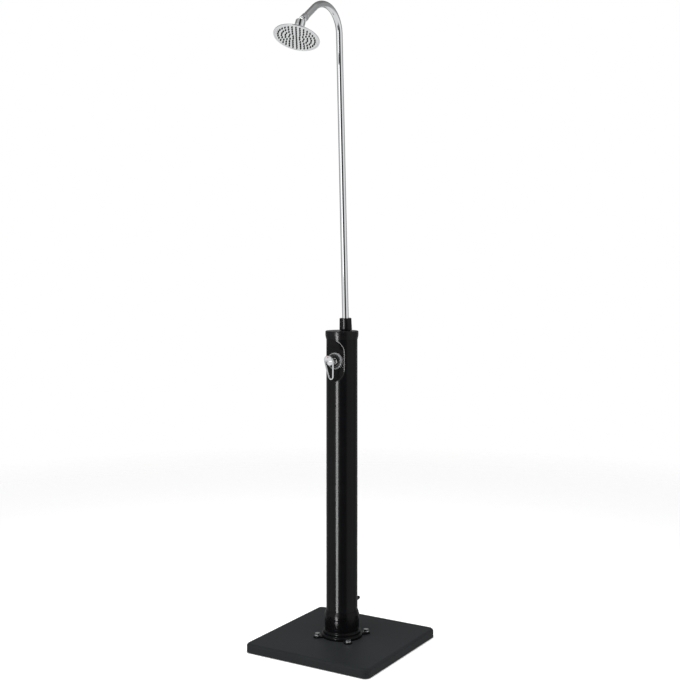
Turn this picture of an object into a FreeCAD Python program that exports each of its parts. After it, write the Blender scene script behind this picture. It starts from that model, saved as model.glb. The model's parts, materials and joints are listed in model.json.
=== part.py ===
import FreeCAD, Part
import math
import os
import re
import Sketcher

# Outdoor solar shower post: weighted base, black tank tube with a dished front, single-lever
# mixing tap, and a chrome gooseneck riser with a tilting rain head.
# Millimetres. +Z is up, the tap and the spray face -Y, the floor is Z = 0 under the tank's axis.

Vector = FreeCAD.Vector
doc = FreeCAD.newDocument("ShowerPost")

SIZES = {
    # clearances
    "fit_gap": 0.1,  # between pieces that are fixed together
    "run_gap": 0.06,  # radial, between a shaft and its bearing
    "free_gap": 0.3,  # between pieces that move past each other
    # weighted base
    "base_width": 468,
    "base_top": 31.3,
    "base_lift": 1,  # the shell's lower edge above the floor
    "base_corner": 21,
    "base_edge": 9,
    "base_lower_edge": 2.5,
    "base_wall": 4,
    "pad_height": 1.8,
    "pad_radius": 15,
    "pad_inset": 49,  # from the base's edge to the outer pads
    "tray_thickness": 2.5,
    "ballast_gap": 2,
    "screw_inset": 29,
    "screw_radius": 1.9,
    "screw_length": 15,
    "screw_head_radius": 3.9,
    "screw_head_height": 1.2,
    "boss_radius": 6.5,
    "plate_width": 150,
    "plate_thickness": 4,
    # foot
    "bolt_circle": 84,
    "bolt_radius": 5,
    "bolt_hole_gap": 0.5,
    "bolt_flats": 16,  # across the flats of heads and nuts
    "bolt_head_height": 7,
    "bolt_tail": 1.5,  # what stands out under the nut
    "nut_height": 8,
    "washer_radius": 10,
    "washer_thickness": 1.8,
    "ear_radius": 14,
    "ear_height": 5.7,
    "ear_edge": 2,
    "flange_radius": 69,
    "flange_height": 10.7,
    "flange_edge": 4,
    "ring_radius": 63,
    "ring_height": 21.7,
    "ring_edge": 3.5,
    "collar_radius": 58,
    "collar_height": 75.7,
    "groove_height": 63.7,
    "groove_depth": 0.9,
    "groove_half_height": 1.35,
    "shoulder_height": 88.7,
    "shoulder_wall": 1.1,
    "ledge_radius": 40,
    "seat_height": 12.7,  # the tube's lower end above the base
    # tank
    "tank_radius": 52.5,
    "tank_wall": 3.5,
    "tank_length": 1006,
    "plug_height": 26,
    "plug_wall": 5,
    "dish_floor": 39.5,  # from the tank's axis
    "dish_flat": 56,
    "dish_bend": 56,
    "dish_edge": 3,
    # top cap
    "cap_radius": 55.85,
    "cap_plate": 4.5,
    "cap_band": 14.5,
    "cap_skirt": 26,
    "cap_lip": 0.6,
    "cap_edge": 3,
    "cap_plug_depth": 14,
    "cap_plug_wall": 3.5,
    "cap_seal": 1.5,
    # water way at the back of the foot
    "inlet_thread": 8,
    "inlet_bore": 4.5,
    "inlet_flange": 12.5,
    "inlet_flange_thickness": 3,
    "inlet_barrel": 9,
    "inlet_rise": 20,
    "inlet_rise_radius": 8.4,
    "inlet_nut_radius": 10,
    "inlet_nut_thickness": 5,
    "inlet_nut_stand": 0.5,  # its flat back clears the round tube
    "inlet_seal_thickness": 1.8,
    "filter_thickness": 0.8,
    "connector_base_radius": 10,
    "connector_base_length": 14,
    "connector_ridge": 6.7,
    "connector_waist": 5.6,
    "connector_bore": 4,
    "connector_length": 54,
    "connector_edge": 0.8,
    "connector_slope": 1,
    "connector_steps": 6,
    "hose_seal_width": 2.6,
    "water_tube": 6,
    "water_tube_wall": 1,
    "tube_socket": 8,
    # tap, along its own axis out of the dish, from a plane behind the dish's floor
    "tap_seat": 36,  # the dish's floor above that plane
    "valve_drop": 93,  # the tap below the tube's top
    "valve_back": 0,
    "mixer_radius": 19,
    "mixer_flange": 23.5,
    "mixer_flange_thickness": 3,
    "mixer_neck": 15.5,
    "mixer_cross": 9.5,  # the water ways' place on the tap's axis
    "mixer_boss": 9,
    "mixer_half_height": 24,
    "wall_seal": 1.5,
    "locknut_flats": 36,
    "locknut_thickness": 5,
    "cartridge_radius": 12.5,
    "cartridge_wall": 2,
    "cartridge_floor": 13,
    "cartridge_length": 30,
    "cartridge_mouth": 9.6,
    "disc_thickness": 3,
    "port_offset": 4.5,
    "port_radius": 1.8,
    "way_radius": 3.6,
    "outlet_offset": 7.2,
    "shuttle_radius": 7.2,
    "shuttle_thickness": 3.45,
    "shuttle_recess": 1.15,
    "shuttle_hub": 4.2,
    "shuttle_hub_top": 27.6,
    "pivot_distance": 34,
    "pivot_radius": 1.5,
    "pivot_half_length": 10,
    "drive_arm": 8,
    "drive_ball": 2.5,
    "drive_neck": 1.75,
    "drive_neck_length": 3,
    "drive_taper": 1.5,
    "spindle_radius": 4,
    "spindle_end": 66,
    "spindle_edge": 0.8,
    "rotor_top": 41,
    "slot_half_length": 7.8,
    "nut_front": 45.3,
    "nut_mouth": 10.5,
    "nut_rim": 17.3,
    "nut_edge": 1,
    "rose_radius": 27.5,
    "rose_front": 47,
    "rose_edge": 2.8,
    "rose_band": 5,  # the flat front of the ring
    "rose_slope": 2,
    "rose_step": 2.5,
    "rose_inner_edge": 1.5,
    # lever
    "lever_distance": 79,
    "lever_rise": 4,  # the loop's round head above the tap's axis, along the loop
    "lever_lean": 14,
    "lever_head": 17.8,
    "lever_drop": 56,
    "lever_tip": 10.5,
    "lever_wire": 5,
    "lever_thickness": 7,
    "lever_round": 2.2,
    "stem_start": 50,
    "stem_radius": 7.5,
    "stem_head": 12.5,
    "stem_waist": 8.5,
    "stem_waist_start": 10,
    "stem_head_start": 22,
    "stem_head_end": 26,
    "stem_face": 8.75,
    "stem_face_depth": 2,
    "stem_edge": 2,
    "grub_distance": 60,
    "grub_radius": 2.5,
    "grub_stand": 0.5,
    "index_offset": 12.5,
    "index_radius": 2.2,
    # riser
    "riser_back": 25,
    "riser_sink": 1.3,  # below the cap's top, on the riser's axis
    "riser_lean": 2.4,
    "riser_radius": 11,
    "riser_wall": 1.2,
    "riser_depth": 10,
    "riser_run": 996.2,
    "rear_bend": 85.7,
    "front_bend": 110.9,
    "bend_split": 81.6,
    "bend_angle": 124.96,
    "arm_reach": 102,
    "spigot_radius": 17,
    "spigot_top": 30,
    "boss_wall": 4,
    "seal_width": 2.4,
    "seal_depth": 2.1,
    "lower_seal": 6,
    "upper_seal": 16,
    "riser_nut_start": 2.4,
    "riser_nut_end": 42.8,
    "riser_nut_lower": 21.2,
    "riser_nut_upper": 20.3,
    "riser_nut_roof": 4.5,
    "rib_count": 24,
    "rib_groove": 1.1,
    "rib_sink": 0.37,  # how far the grooves' axes stand outside the nut
    "rib_start": 1,  # how far below the nut the grooves begin
    "rib_share": 0.9,  # the grooves' length over the nut's height
    "riser_nut_edge": 2.5,
    "riser_nut_foot_edge": 1,
    "catch_ring": 15,
    # ball joint
    "ball_radius": 11.5,
    "ball_neck": 5.5,
    "ball_bore": 3.5,
    "liner_wall": 1.05,
    "liner_mouth": 8.8,
    "liner_outlet": 5.2,
    "sleeve_start": 15,
    "sleeve_end": 38,
    "sleeve_radius": 12.5,
    "sleeve_floor": 20,
    "sleeve_washer": 2,
    "sleeve_edge": 1.5,
    "sleeve_end_edge": 1,
    "swivel_radius": 16,
    "swivel_top": 5,
    "swivel_bottom": 19.5,
    "swivel_neck": 13.5,
    "swivel_edge": 1.8,
    "swivel_lower_edge": 1,
    # shower head
    "head_tilt": 23,
    "head_drop": 60,
    "head_radius": 75,
    "head_rim": 3,
    "head_rim_width": 5,
    "head_hub_radius": 16.5,
    "head_hub_height": 23,
    "head_shoulder_radius": 26,
    "head_shoulder_height": 18.5,
    "head_bow": 1.5,
    "head_skin": 2.2,
    "head_inlet": 8,
    "head_land": 1,  # the seat of the nozzle mat, above the mat
    "head_hub_taper": 0.5,
    "head_hub_fillet": 6,
    "head_shoulder_fillet": 5,
    "head_rim_edge": 1,
    "face_thickness": 2,
    "face_recess": 0.4,
    "face_edge": 0.6,
    "mat_thickness": 1.5,
    "nozzle_pitch": 12,
    "nozzle_rings": 5,
    "nozzle_radius": 2.4,
    "nozzle_tip": 2,
    "nozzle_stand": 2.6,
    "nozzle_bore": 0.5,
    "face_screws": 3,
    "face_screw_radius": 1,
    "face_screw_head": 1.7,
    "face_screw_head_height": 0.9,
    "face_screw_length": 5,
}

# Places and sizes that follow from the ones above.
DERIVED = {
    "inner_width": "base_width - 2 * base_wall",
    "pad_pitch": "base_width / 2 - pad_inset",
    "screw_pitch": "base_width / 2 - screw_inset",
    "tray_top": "pad_height + tray_thickness",
    "shell_roof": "base_top - base_wall",
    "plate_bottom": "shell_roof - plate_thickness",
    "bolt_offset": "bolt_circle * cos(45)",
    "bolt_hole": "bolt_radius + bolt_hole_gap",
    "bolt_corner": "bolt_flats / 2 / cos(30)",
    "ear_top": "base_top + ear_height",
    "head_seat": "ear_top + washer_thickness",
    "nut_bottom": "plate_bottom - nut_height",
    "flange_top": "base_top + flange_height",
    "ring_top": "base_top + ring_height",
    "collar_top": "base_top + collar_height",
    "groove_place": "base_top + groove_height",
    "shoulder_top": "base_top + shoulder_height",
    "socket_radius": "tank_radius + fit_gap",
    "tube_bottom": "base_top + seat_height",
    "tube_top": "tube_bottom + tank_length",
    "tank_bore": "tank_radius - tank_wall",
    "valve_height": "tube_top - valve_drop",
    "tap_back": "dish_floor - tap_seat",
    "water_line": "mixer_cross + tap_back",
    "plate_under": "tube_top + cap_seal",
    "cap_top": "plate_under + cap_plate",
    "riser_start": "cap_top - riser_sink",
    "boss_bottom": "riser_start - riser_depth - 2 * tube_socket",
    "plug_radius": "tank_bore - fit_gap",
    "inlet_height": "shoulder_top + inlet_nut_radius",
    "inlet_seat": "tank_bore - inlet_seal_thickness",
    "elbow_flange": "inlet_seat - inlet_flange_thickness",
    "inlet_nut_back": "tank_radius + inlet_nut_stand",
    "inlet_nut_end": "inlet_nut_back + inlet_nut_thickness",
    "inlet_thread_end": "inlet_nut_end + connector_base_length / 2",
    "connector_ledge": "inlet_thread_end + filter_thickness + 2 * fit_gap",
    "connector_base_end": "inlet_nut_end + connector_base_length",
    "connector_end": "inlet_nut_end + connector_length",
    "connector_step": "(connector_length - connector_base_length) / connector_steps",
    "wall_inside": "tap_seat - tank_wall",
    "flange_back": "wall_inside - wall_seal - mixer_flange_thickness",
    "neck_hole": "mixer_neck + fit_gap",
    "locknut_front": "tap_seat + locknut_thickness",
    "cartridge_top": "cartridge_floor + cartridge_length",
    "cartridge_bore": "cartridge_radius - cartridge_wall",
    "disc_seat": "cartridge_floor + cartridge_wall",
    "shuttle_seat": "disc_seat + disc_thickness + run_gap",
    "shuttle_top": "shuttle_seat + shuttle_thickness",
    "drive_place": "pivot_distance - drive_arm",
    "water_hole": "water_tube + fit_gap / 2",
    "riser_hole": "riser_radius + run_gap",
    "groove_hole": "riser_hole + seal_depth + fit_gap",
    "thread_hole": "spigot_radius + fit_gap",
    "catch_start": "spigot_top + free_gap",
    "catch_end": "riser_nut_end - riser_nut_roof - free_gap",
    "bend_shift": "rear_bend - front_bend",
    "bend_end_back": "bend_shift * cos(bend_split) + front_bend * cos(bend_angle) - rear_bend",
    "bend_end_up": "bend_shift * sin(bend_split) + front_bend * sin(bend_angle) + riser_run",
    "ball_back": "bend_end_back - arm_reach * sin(bend_angle)",
    "ball_up": "bend_end_up + arm_reach * cos(bend_angle)",
    "ball_y": "riser_back + ball_back * cos(riser_lean) - ball_up * sin(riser_lean)",
    "ball_z": "riser_start + ball_back * sin(riser_lean) + ball_up * cos(riser_lean)",
    "pipe_end": "arm_reach - sleeve_floor - sleeve_washer",
    "liner_radius": "ball_radius + run_gap + liner_wall",
    "cup_radius": "liner_radius + run_gap",
    "face_front": "face_recess - head_drop",
    "face_back": "face_front + face_thickness",
    "mat_back": "face_back + mat_thickness",
    "face_radius": "head_radius - head_rim_width",
    "nozzle_front": "face_front - nozzle_stand",
}

sheet = doc.addObject("Spreadsheet::Sheet", "dims")
for row, (alias, value) in enumerate(SIZES.items(), 1):
    sheet.set(f"A{row}", alias)
    sheet.set(f"B{row}", str(value))
    sheet.setAlias(f"B{row}", alias)
doc.recompute()

PIECES = []


def bound(text):
    """Turns a rule in plain size names into an expression on the sheet's cells."""

    def swap(match):
        word = match.group(0)
        if word in DERIVED:
            return "(" + bound(DERIVED[word]) + ")"
        return "dims." + word if word in SIZES else word

    return re.sub(r"[a-z_]+", swap, str(text))


def number(text):
    return float(sheet.evalExpression(bound(text)))


def near(one, other):
    return abs(one - other) < 1e-4


def at(x="0", y="0", z="0", angle="0", about="1; 0; 0"):
    """A place with a turn, about X unless told otherwise."""
    spot = f"vector({bound(x)}; {bound(y)}; {bound(z)})"
    return f"placement({spot}; rotation(vector({about}); {bound(angle)}))"


VALVE = at(y="-tap_back", z="valve_height", angle="90")  # local Z points out of the dish, local Y up
INLET = at(z="inlet_height", angle="-90")  # local Z points backwards, local Y down
RISER = at("0", "riser_back", "riser_start", "riser_lean")
ARM_END = at("0", "ball_y", "ball_z", "bend_angle + riser_lean - 180")  # local Z points back up the arm
HEAD = at("0", "ball_y", "ball_z", "-head_tilt")  # local Z points away from the spray


def keep(item, name):
    item.Label = name
    PIECES.append(item)


def new_body(name, place=None, kept=True):
    item = doc.addObject("PartDesign::Body", name)
    if kept:
        keep(item, name)
    if place:
        item.setExpression("Placement", place)
    return item


def add(body, kind, place=None, **sizes):
    """Adds a primitive, such as AdditiveCylinder or SubtractiveBox, in the body's own axes."""
    item = body.newObject("PartDesign::" + kind, kind)
    for prop, text in sizes.items():
        item.setExpression(prop, bound(text))
    if place:
        item.setExpression("Placement", place)
    return item


def origin_part(body, role):
    return [part for part in body.Origin.OriginFeatures if part.Role == role][0]


def outline(sketch, points):
    """Draws a closed outline. A point's third value bows the side that leaves it to its left."""
    corners = [Vector(number(point[0]), number(point[1]), 0) for point in points]
    joins = []
    for here, there, point in zip(corners, corners[1:] + corners[:1], points):
        if len(point) == 2:
            edge = sketch.addGeometry(Part.LineSegment(here, there))
            joins.append((edge, 1, 2))
            continue
        side = there - here
        bow = number(point[2])
        left = Vector(-side.y, side.x, 0).normalize()
        middle = (here + there) * 0.5 + left * bow
        edge = sketch.addGeometry(Part.Arc(here, middle, there))
        first = 1 if near(sketch.getPoint(edge, 1).distanceToPoint(here), 0) else 2
        joins.append((edge, first, 3 - first))
    for join, follower in zip(joins, joins[1:] + joins[:1]):
        sketch.addConstraint(Sketcher.Constraint("Coincident", join[0], join[2], follower[0], follower[1]))
    for index, (join, corner, point) in enumerate(zip(joins, corners, points)):
        for kind, value, text in (("DistanceX", corner.x, point[0]), ("DistanceY", corner.y, point[1])):
            rule = sketch.addConstraint(Sketcher.Constraint(kind, -1, 1, join[0], join[1], value))
            sketch.setExpression(f"Constraints[{rule}]", bound(text))
        if len(point) == 3:
            follower = points[(index + 1) % len(points)]
            chord = f"(({follower[0]} - ({point[0]}))^2 + ({follower[1]} - ({point[1]}))^2)"
            text = f"{chord} / 8 / abs({point[2]}) + abs({point[2]}) / 2"
            rule = sketch.addConstraint(Sketcher.Constraint("Radius", join[0], number(text)))
            sketch.setExpression(f"Constraints[{rule}]", bound(text))


def new_sketch(body, role="XY_Plane", height=None):
    sketch = body.newObject("Sketcher::SketchObject", "Sketch")
    sketch.AttachmentSupport = [(origin_part(body, role), "")]
    sketch.MapMode = "FlatFace"
    if height:
        sketch.setExpression("AttachmentOffset", at(z=height))
    return sketch


def circle(sketch, x, y, radius):
    spot = Vector(number(x), number(y), 0)
    edge = sketch.addGeometry(Part.Circle(spot, Vector(0, 0, 1), number(radius)))
    rules = (("DistanceX", spot.x, x), ("DistanceY", spot.y, y))
    for kind, value, text in rules:
        rule = sketch.addConstraint(Sketcher.Constraint(kind, -1, 1, edge, 3, value))
        sketch.setExpression(f"Constraints[{rule}]", bound(text))
    rule = sketch.addConstraint(Sketcher.Constraint("Radius", edge, number(radius)))
    sketch.setExpression(f"Constraints[{rule}]", bound(radius))


def turn(body, points):
    """Turns an outline of (radius, height) points about the body's Z axis."""
    sketch = new_sketch(body, "XZ_Plane")
    outline(sketch, points)
    item = body.newObject("PartDesign::Revolution", "Turn")
    item.Profile = sketch
    item.ReferenceAxis = (sketch, ["V_Axis"])
    item.Angle = 360
    doc.recompute()
    return item


def turned(name, points, place=None, rounds=(), kept=True):
    body = new_body(name, place, kept)
    turn(body, points)
    for radius, spots in rounds:
        round_rings(body, radius, spots)
    return body


def fillet(body, radius, wanted):
    """Rounds the edges of the body's last feature for which wanted(edge) is true."""
    base = body.Tip
    names = [f"Edge{i}" for i, edge in enumerate(base.Shape.Edges, 1) if wanted(edge)]
    item = body.newObject("PartDesign::Fillet", "Round")
    item.Base = (base, names)
    item.setExpression("Radius", bound(radius))
    doc.recompute()


def round_rings(body, radius, spots):
    """Rounds the circular edges about Z at the given (radius, height) spots."""
    rings = [(number(r), number(z)) for r, z in spots]

    def wanted(edge):
        curve = edge.Curve
        if not isinstance(curve, Part.Circle) or not near(math.hypot(curve.Center.x, curve.Center.y), 0):
            return False
        return any(near(curve.Radius, r) and near(curve.Center.z, z) for r, z in rings)

    fillet(body, radius, wanted)


def level(edge, height):
    box = edge.BoundBox
    return near(box.ZMin, height) and near(box.ZMax, height)


def around(body, features, count):
    """Repeats features evenly about the body's Z axis."""
    item = body.newObject("PartDesign::PolarPattern", "Ring")
    item.Originals = features
    item.Axis = (origin_part(body, "Z_Axis"), [""])
    item.Angle = 360
    item.setExpression("Occurrences", bound(count))
    body.Tip = item
    doc.recompute()


def group(name, model, places):
    """One node of equal pieces: the model linked to each place."""
    copies = []
    for place in places:
        copy = doc.addObject("App::Link", name + "_copy")
        copy.LinkedObject = model
        copy.setExpression("Placement", place)
        copies.append(copy)
    item = doc.addObject("Part::Compound", name)
    item.Links = copies
    keep(item, name)


def solid(kind, place=None, **sizes):
    """A free primitive of the document, for the booleans below."""
    item = doc.addObject("Part::" + kind, kind)
    for prop, text in sizes.items():
        item.setExpression(prop, bound(text))
    if place:
        item.setExpression("Placement", place)
    return item


def joined(shapes):
    item = doc.addObject("Part::MultiFuse", "Joined")
    item.Shapes = shapes
    return item


def cut(base, tool, name="Cut"):
    item = doc.addObject("Part::Cut", name)
    item.Base = base
    item.Tool = tool
    return item


GRID = [(x, y) for x in (-1, 0, 1) for y in (-1, 0, 1)]
CORNERS = [(x, y) for x in (-1, 1) for y in (-1, 1)]


def slab(body, kind, width, corner, bottom, top):
    """Pads or pockets a square with round corners between two heights."""
    half = f"({width}) / 2"
    flat = f"(({width}) / 2 - ({corner}))"
    bow = f"({corner}) * (cos(45) - 1)"
    sketch = new_sketch(body, "XY_Plane", bottom)
    outline(sketch, [
        (f"-{flat}", f"-{half}"), (flat, f"-{half}", bow), (half, f"-{flat}"), (half, flat, bow),
        (flat, half), (f"-{flat}", half, bow), (f"-{half}", flat), (f"-{half}", f"-{flat}", bow),
    ])
    item = body.newObject("PartDesign::" + kind, kind)
    item.Profile = sketch
    item.Reversed = kind == "Pocket"
    item.setExpression("Length", bound(f"{top} - ({bottom})"))
    doc.recompute()


def make_base():
    screw_spots = [(x, y) for x, y in GRID if x or y]

    shell = new_body("base_shell")
    slab(shell, "Pad", "base_width", "base_corner", "base_lift", "base_top")
    fillet(shell, "base_edge", lambda edge: level(edge, number("base_top")))
    fillet(shell, "base_lower_edge", lambda edge: level(edge, number("base_lift")))
    slab(shell, "Pocket", "inner_width", "base_corner - base_wall", "base_lift", "shell_roof")
    for x, y in screw_spots:
        spot = (f"{x} * screw_pitch", f"{y} * screw_pitch")
        add(shell, "AdditiveCylinder", at(*spot, "tray_top"), Radius="boss_radius",
            Height="shell_roof - tray_top")
        add(shell, "SubtractiveCylinder", at(*spot, "tray_top"), Radius="screw_radius + fit_gap / 2",
            Height="screw_length")
    for x, y in CORNERS:
        add(shell, "SubtractiveCylinder", at(f"{x} * bolt_offset", f"{y} * bolt_offset", "shell_roof"),
            Radius="bolt_hole", Height="base_wall")

    tray = new_body("base_tray")
    slab(tray, "Pad", "inner_width - 2 * free_gap", "base_corner - base_wall - free_gap", "pad_height",
         "tray_top")
    for x, y in screw_spots:
        spot = (f"{x} * screw_pitch", f"{y} * screw_pitch")
        add(tray, "SubtractiveCylinder", at(*spot, "pad_height"), Radius="screw_radius + 2 * fit_gap",
            Height="tray_thickness")
        add(tray, "SubtractiveCylinder", at(*spot, "pad_height"), Radius="screw_head_radius + 2 * fit_gap",
            Height="screw_head_height + fit_gap")

    ballast = new_body("base_ballast")
    slab(ballast, "Pad", "inner_width - 2 * ballast_gap", "base_corner - base_wall - ballast_gap",
         "tray_top", "shell_roof - fit_gap")
    slab(ballast, "Pocket", "plate_width + 2 * ballast_gap", "ballast_gap", "plate_bottom", "shell_roof")
    for x, y in screw_spots:
        add(ballast, "SubtractiveCylinder", at(f"{x} * screw_pitch", f"{y} * screw_pitch", "tray_top"),
            Radius="boss_radius + ballast_gap", Height="base_top")
    for x, y in CORNERS:
        add(ballast, "SubtractiveCylinder", at(f"{x} * bolt_offset", f"{y} * bolt_offset", "tray_top"),
            Radius="bolt_corner + ballast_gap", Height="base_top")

    plate = new_body("backing_plate")
    slab(plate, "Pad", "plate_width", "plate_thickness", "plate_bottom", "shell_roof")
    for x, y in CORNERS:
        add(plate, "SubtractiveCylinder", at(f"{x} * bolt_offset", f"{y} * bolt_offset", "plate_bottom"),
            Radius="bolt_hole", Height="plate_thickness")

    pad = turned("pad_model", [("0", "0"), ("pad_radius", "0"), ("pad_radius", "pad_height"),
                               ("0", "pad_height")], kept=False)
    group("base_pads", pad, [at(f"{x} * pad_pitch", f"{y} * pad_pitch") for x, y in GRID])

    screw = turned("screw_model", [("0", "0"), ("screw_head_radius", "0"),
                                   ("screw_head_radius", "screw_head_height"),
                                   ("screw_radius", "screw_head_height"),
                                   ("screw_radius", "screw_length"), ("0", "screw_length")], kept=False)
    group("tray_screws", screw, [at(f"{x} * screw_pitch", f"{y} * screw_pitch", "pad_height + fit_gap")
                                 for x, y in screw_spots])


def make_foot():
    flange = turned("foot_flange", [
        ("ledge_radius", "base_top"), ("flange_radius", "base_top"), ("flange_radius", "flange_top"),
        ("ring_radius", "flange_top"), ("ring_radius", "ring_top"), ("collar_radius", "ring_top"),
        ("collar_radius", "groove_place - groove_half_height"),
        ("collar_radius - groove_depth", "groove_place"),
        ("collar_radius", "groove_place + groove_half_height"),
        ("collar_radius", "collar_top"), ("socket_radius + shoulder_wall", "shoulder_top"),
        ("socket_radius", "shoulder_top"), ("socket_radius", "tube_bottom"),
        ("ledge_radius", "tube_bottom"),
    ])
    corners = [(f"{x} * bolt_offset", f"{y} * bolt_offset") for x, y in CORNERS]
    for (x, y), corner in zip(CORNERS, corners):
        bearing = math.degrees(math.atan2(y, x))
        side = (f"socket_radius * cos({bearing}) + ear_radius * sin({bearing})",
                f"socket_radius * sin({bearing}) - ear_radius * cos({bearing})")
        add(flange, "AdditiveBox", at(*side, "base_top", bearing, "0; 0; 1"),
            Length="bolt_circle - socket_radius", Width="2 * ear_radius", Height="ear_height")
        add(flange, "AdditiveCylinder", at(*corner, "base_top"), Radius="ear_radius", Height="ear_height")
        add(flange, "SubtractiveCylinder", at(*corner, "base_top"), Radius="bolt_hole", Height="ear_height")
    doc.recompute()

    def ear_rim(edge):
        if not level(edge, number("ear_top")):
            return False
        return not isinstance(edge.Curve, Part.Circle) or near(edge.Curve.Radius, number("ear_radius"))

    fillet(flange, "ear_edge", ear_rim)
    round_rings(flange, "ring_edge", [("ring_radius", "ring_top"), ("flange_radius", "flange_top")])
    round_rings(flange, "ring_edge / 2", [("ring_radius", "flange_top"), ("collar_radius", "ring_top")])
    round_rings(flange, "flange_edge", [("collar_radius", "collar_top")])

    bolt = new_body("bolt_model", kept=False)
    add(bolt, "AdditivePrism", Circumradius="bolt_corner", Height="bolt_head_height")
    add(bolt, "AdditiveCylinder", at(z="nut_bottom - bolt_tail - head_seat"), Radius="bolt_radius",
        Height="head_seat - nut_bottom + bolt_tail")
    group("flange_bolts", bolt, [at(*corner, "head_seat") for corner in corners])

    washer = turned("washer_model", [("bolt_radius + fit_gap", "0"), ("washer_radius", "0"),
                                     ("washer_radius", "washer_thickness"),
                                     ("bolt_radius + fit_gap", "washer_thickness")],
                    rounds=[("washer_thickness / 4", [("washer_radius", "washer_thickness")])], kept=False)
    group("flange_washers", washer, [at(*corner, "ear_top") for corner in corners])

    nut = new_body("nut_model", kept=False)
    add(nut, "AdditivePrism", Circumradius="bolt_corner", Height="nut_height")
    add(nut, "SubtractiveCylinder", Radius="bolt_radius + fit_gap / 2", Height="nut_height")
    group("flange_nuts", nut, [at(*corner, "nut_bottom") for corner in corners])


def dish(growth):
    """The space in front of the dished wall, grown inwards by a wall's thickness."""
    low = "valve_height - dish_flat / 2"
    corner = ("-2 * tank_radius", "-dish_floor - dish_bend")
    across = "4 * tank_radius"
    reach = f"dish_bend + {growth}"
    parts = [solid("Box", at(*corner, low), Length=across, Width=reach, Height="dish_flat")]
    for height in (low, "valve_height + dish_flat / 2"):
        parts.append(solid("Cylinder", at(*corner, height, "90", "0; 1; 0"), Radius=reach, Height=across))
    return joined(parts)


def make_tank():
    outside = solid("Cylinder", at(z="tube_bottom"), Radius="tank_radius", Height="tank_length")
    dished = cut(outside, dish("0"))
    doc.recompute()
    rounded = doc.addObject("Part::Fillet", "DishRim")
    rounded.Base = dished
    low = number("tube_bottom + dish_edge")
    high = number("tube_top - dish_edge")
    floor_y = -number("dish_floor")
    radius = number("dish_edge")
    rims = []
    for i, edge in enumerate(dished.Shape.Edges, 1):
        box = edge.BoundBox
        across_floor = near(box.YMin, floor_y) and near(box.YLength, 0) and near(box.ZLength, 0)
        if box.ZMin > low and box.ZMax < high and not across_floor:
            rims.append((i, radius, radius))
    rounded.Edges = rims
    inside = solid("Cylinder", at(z="tube_bottom"), Radius="tank_bore", Height="tank_length")
    space = cut(inside, dish("tank_wall"))
    hollow = cut(rounded, space)
    holes = joined([
        solid("Cylinder", VALVE, Radius="neck_hole", Height="tank_radius"),
        solid("Cylinder", INLET, Radius="inlet_thread + fit_gap", Height="2 * tank_radius"),
    ])
    keep(cut(hollow, holes, "tank_tube"), "tank_tube")

    turned("tank_plug", [
        ("0", "tube_bottom"), ("plug_radius", "tube_bottom"), ("plug_radius", "tube_bottom + plug_height"),
        ("plug_radius - plug_wall", "tube_bottom + plug_height"),
        ("plug_radius - plug_wall", "tube_bottom + plug_wall"), ("0", "tube_bottom + plug_wall"),
    ])

    turned("cap_gasket", [
        ("tank_bore", "tube_top"), ("tank_radius", "tube_top"), ("tank_radius", "plate_under"),
        ("tank_bore", "plate_under"),
    ])

    cap = turned("top_cap", [
        ("0", "plate_under"), ("plug_radius - cap_plug_wall", "plate_under"),
        ("plug_radius - cap_plug_wall", "tube_top - cap_plug_depth"),
        ("plug_radius", "tube_top - cap_plug_depth"), ("plug_radius", "plate_under"),
        ("socket_radius", "plate_under"), ("socket_radius", "cap_top - cap_skirt"),
        ("socket_radius + cap_lip", "cap_top - cap_skirt"), ("cap_radius", "cap_top - cap_band"),
        ("cap_radius", "cap_top"), ("0", "cap_top"),
    ], rounds=[("cap_edge", [("cap_radius", "cap_top"), ("cap_radius", "cap_top - cap_band")])])
    add(cap, "AdditiveCylinder", at("0", "riser_back", "boss_bottom"), Radius="riser_hole + boss_wall",
        Height="plate_under - boss_bottom + fit_gap")
    spigot = [("0", "-cap_plate / 2"), ("spigot_radius", "-cap_plate / 2"), ("spigot_radius", "spigot_top"),
              ("0", "spigot_top")]
    post = turned("spigot_model", spigot, RISER, kept=False)
    bores = turned("spigot_bore_model", [
        ("0", "-riser_depth"), ("riser_hole", "-riser_depth"), ("riser_hole", "lower_seal"),
        ("groove_hole", "lower_seal"), ("groove_hole", "lower_seal + seal_width"),
        ("riser_hole", "lower_seal + seal_width"), ("riser_hole", "upper_seal"),
        ("groove_hole", "upper_seal"), ("groove_hole", "upper_seal + seal_width"),
        ("riser_hole", "upper_seal + seal_width"), ("riser_hole", "spigot_top + fit_gap"),
        ("0", "spigot_top + fit_gap"),
    ], RISER, kept=False)
    boss_end = at("0", "riser_back", "boss_bottom")
    way = solid("Cylinder", boss_end, Radius="water_tube - water_tube_wall",
                Height="2 * tube_socket + cap_plate")
    socket = solid("Cylinder", boss_end, Radius="water_hole", Height="tube_socket")
    PIECES.remove(cap)
    cap.Label = "cap_model"
    cap_full = joined([cap, post])
    keep(cut(cap_full, joined([bores, way, socket]), "top_cap_solid"), "top_cap")


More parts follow.
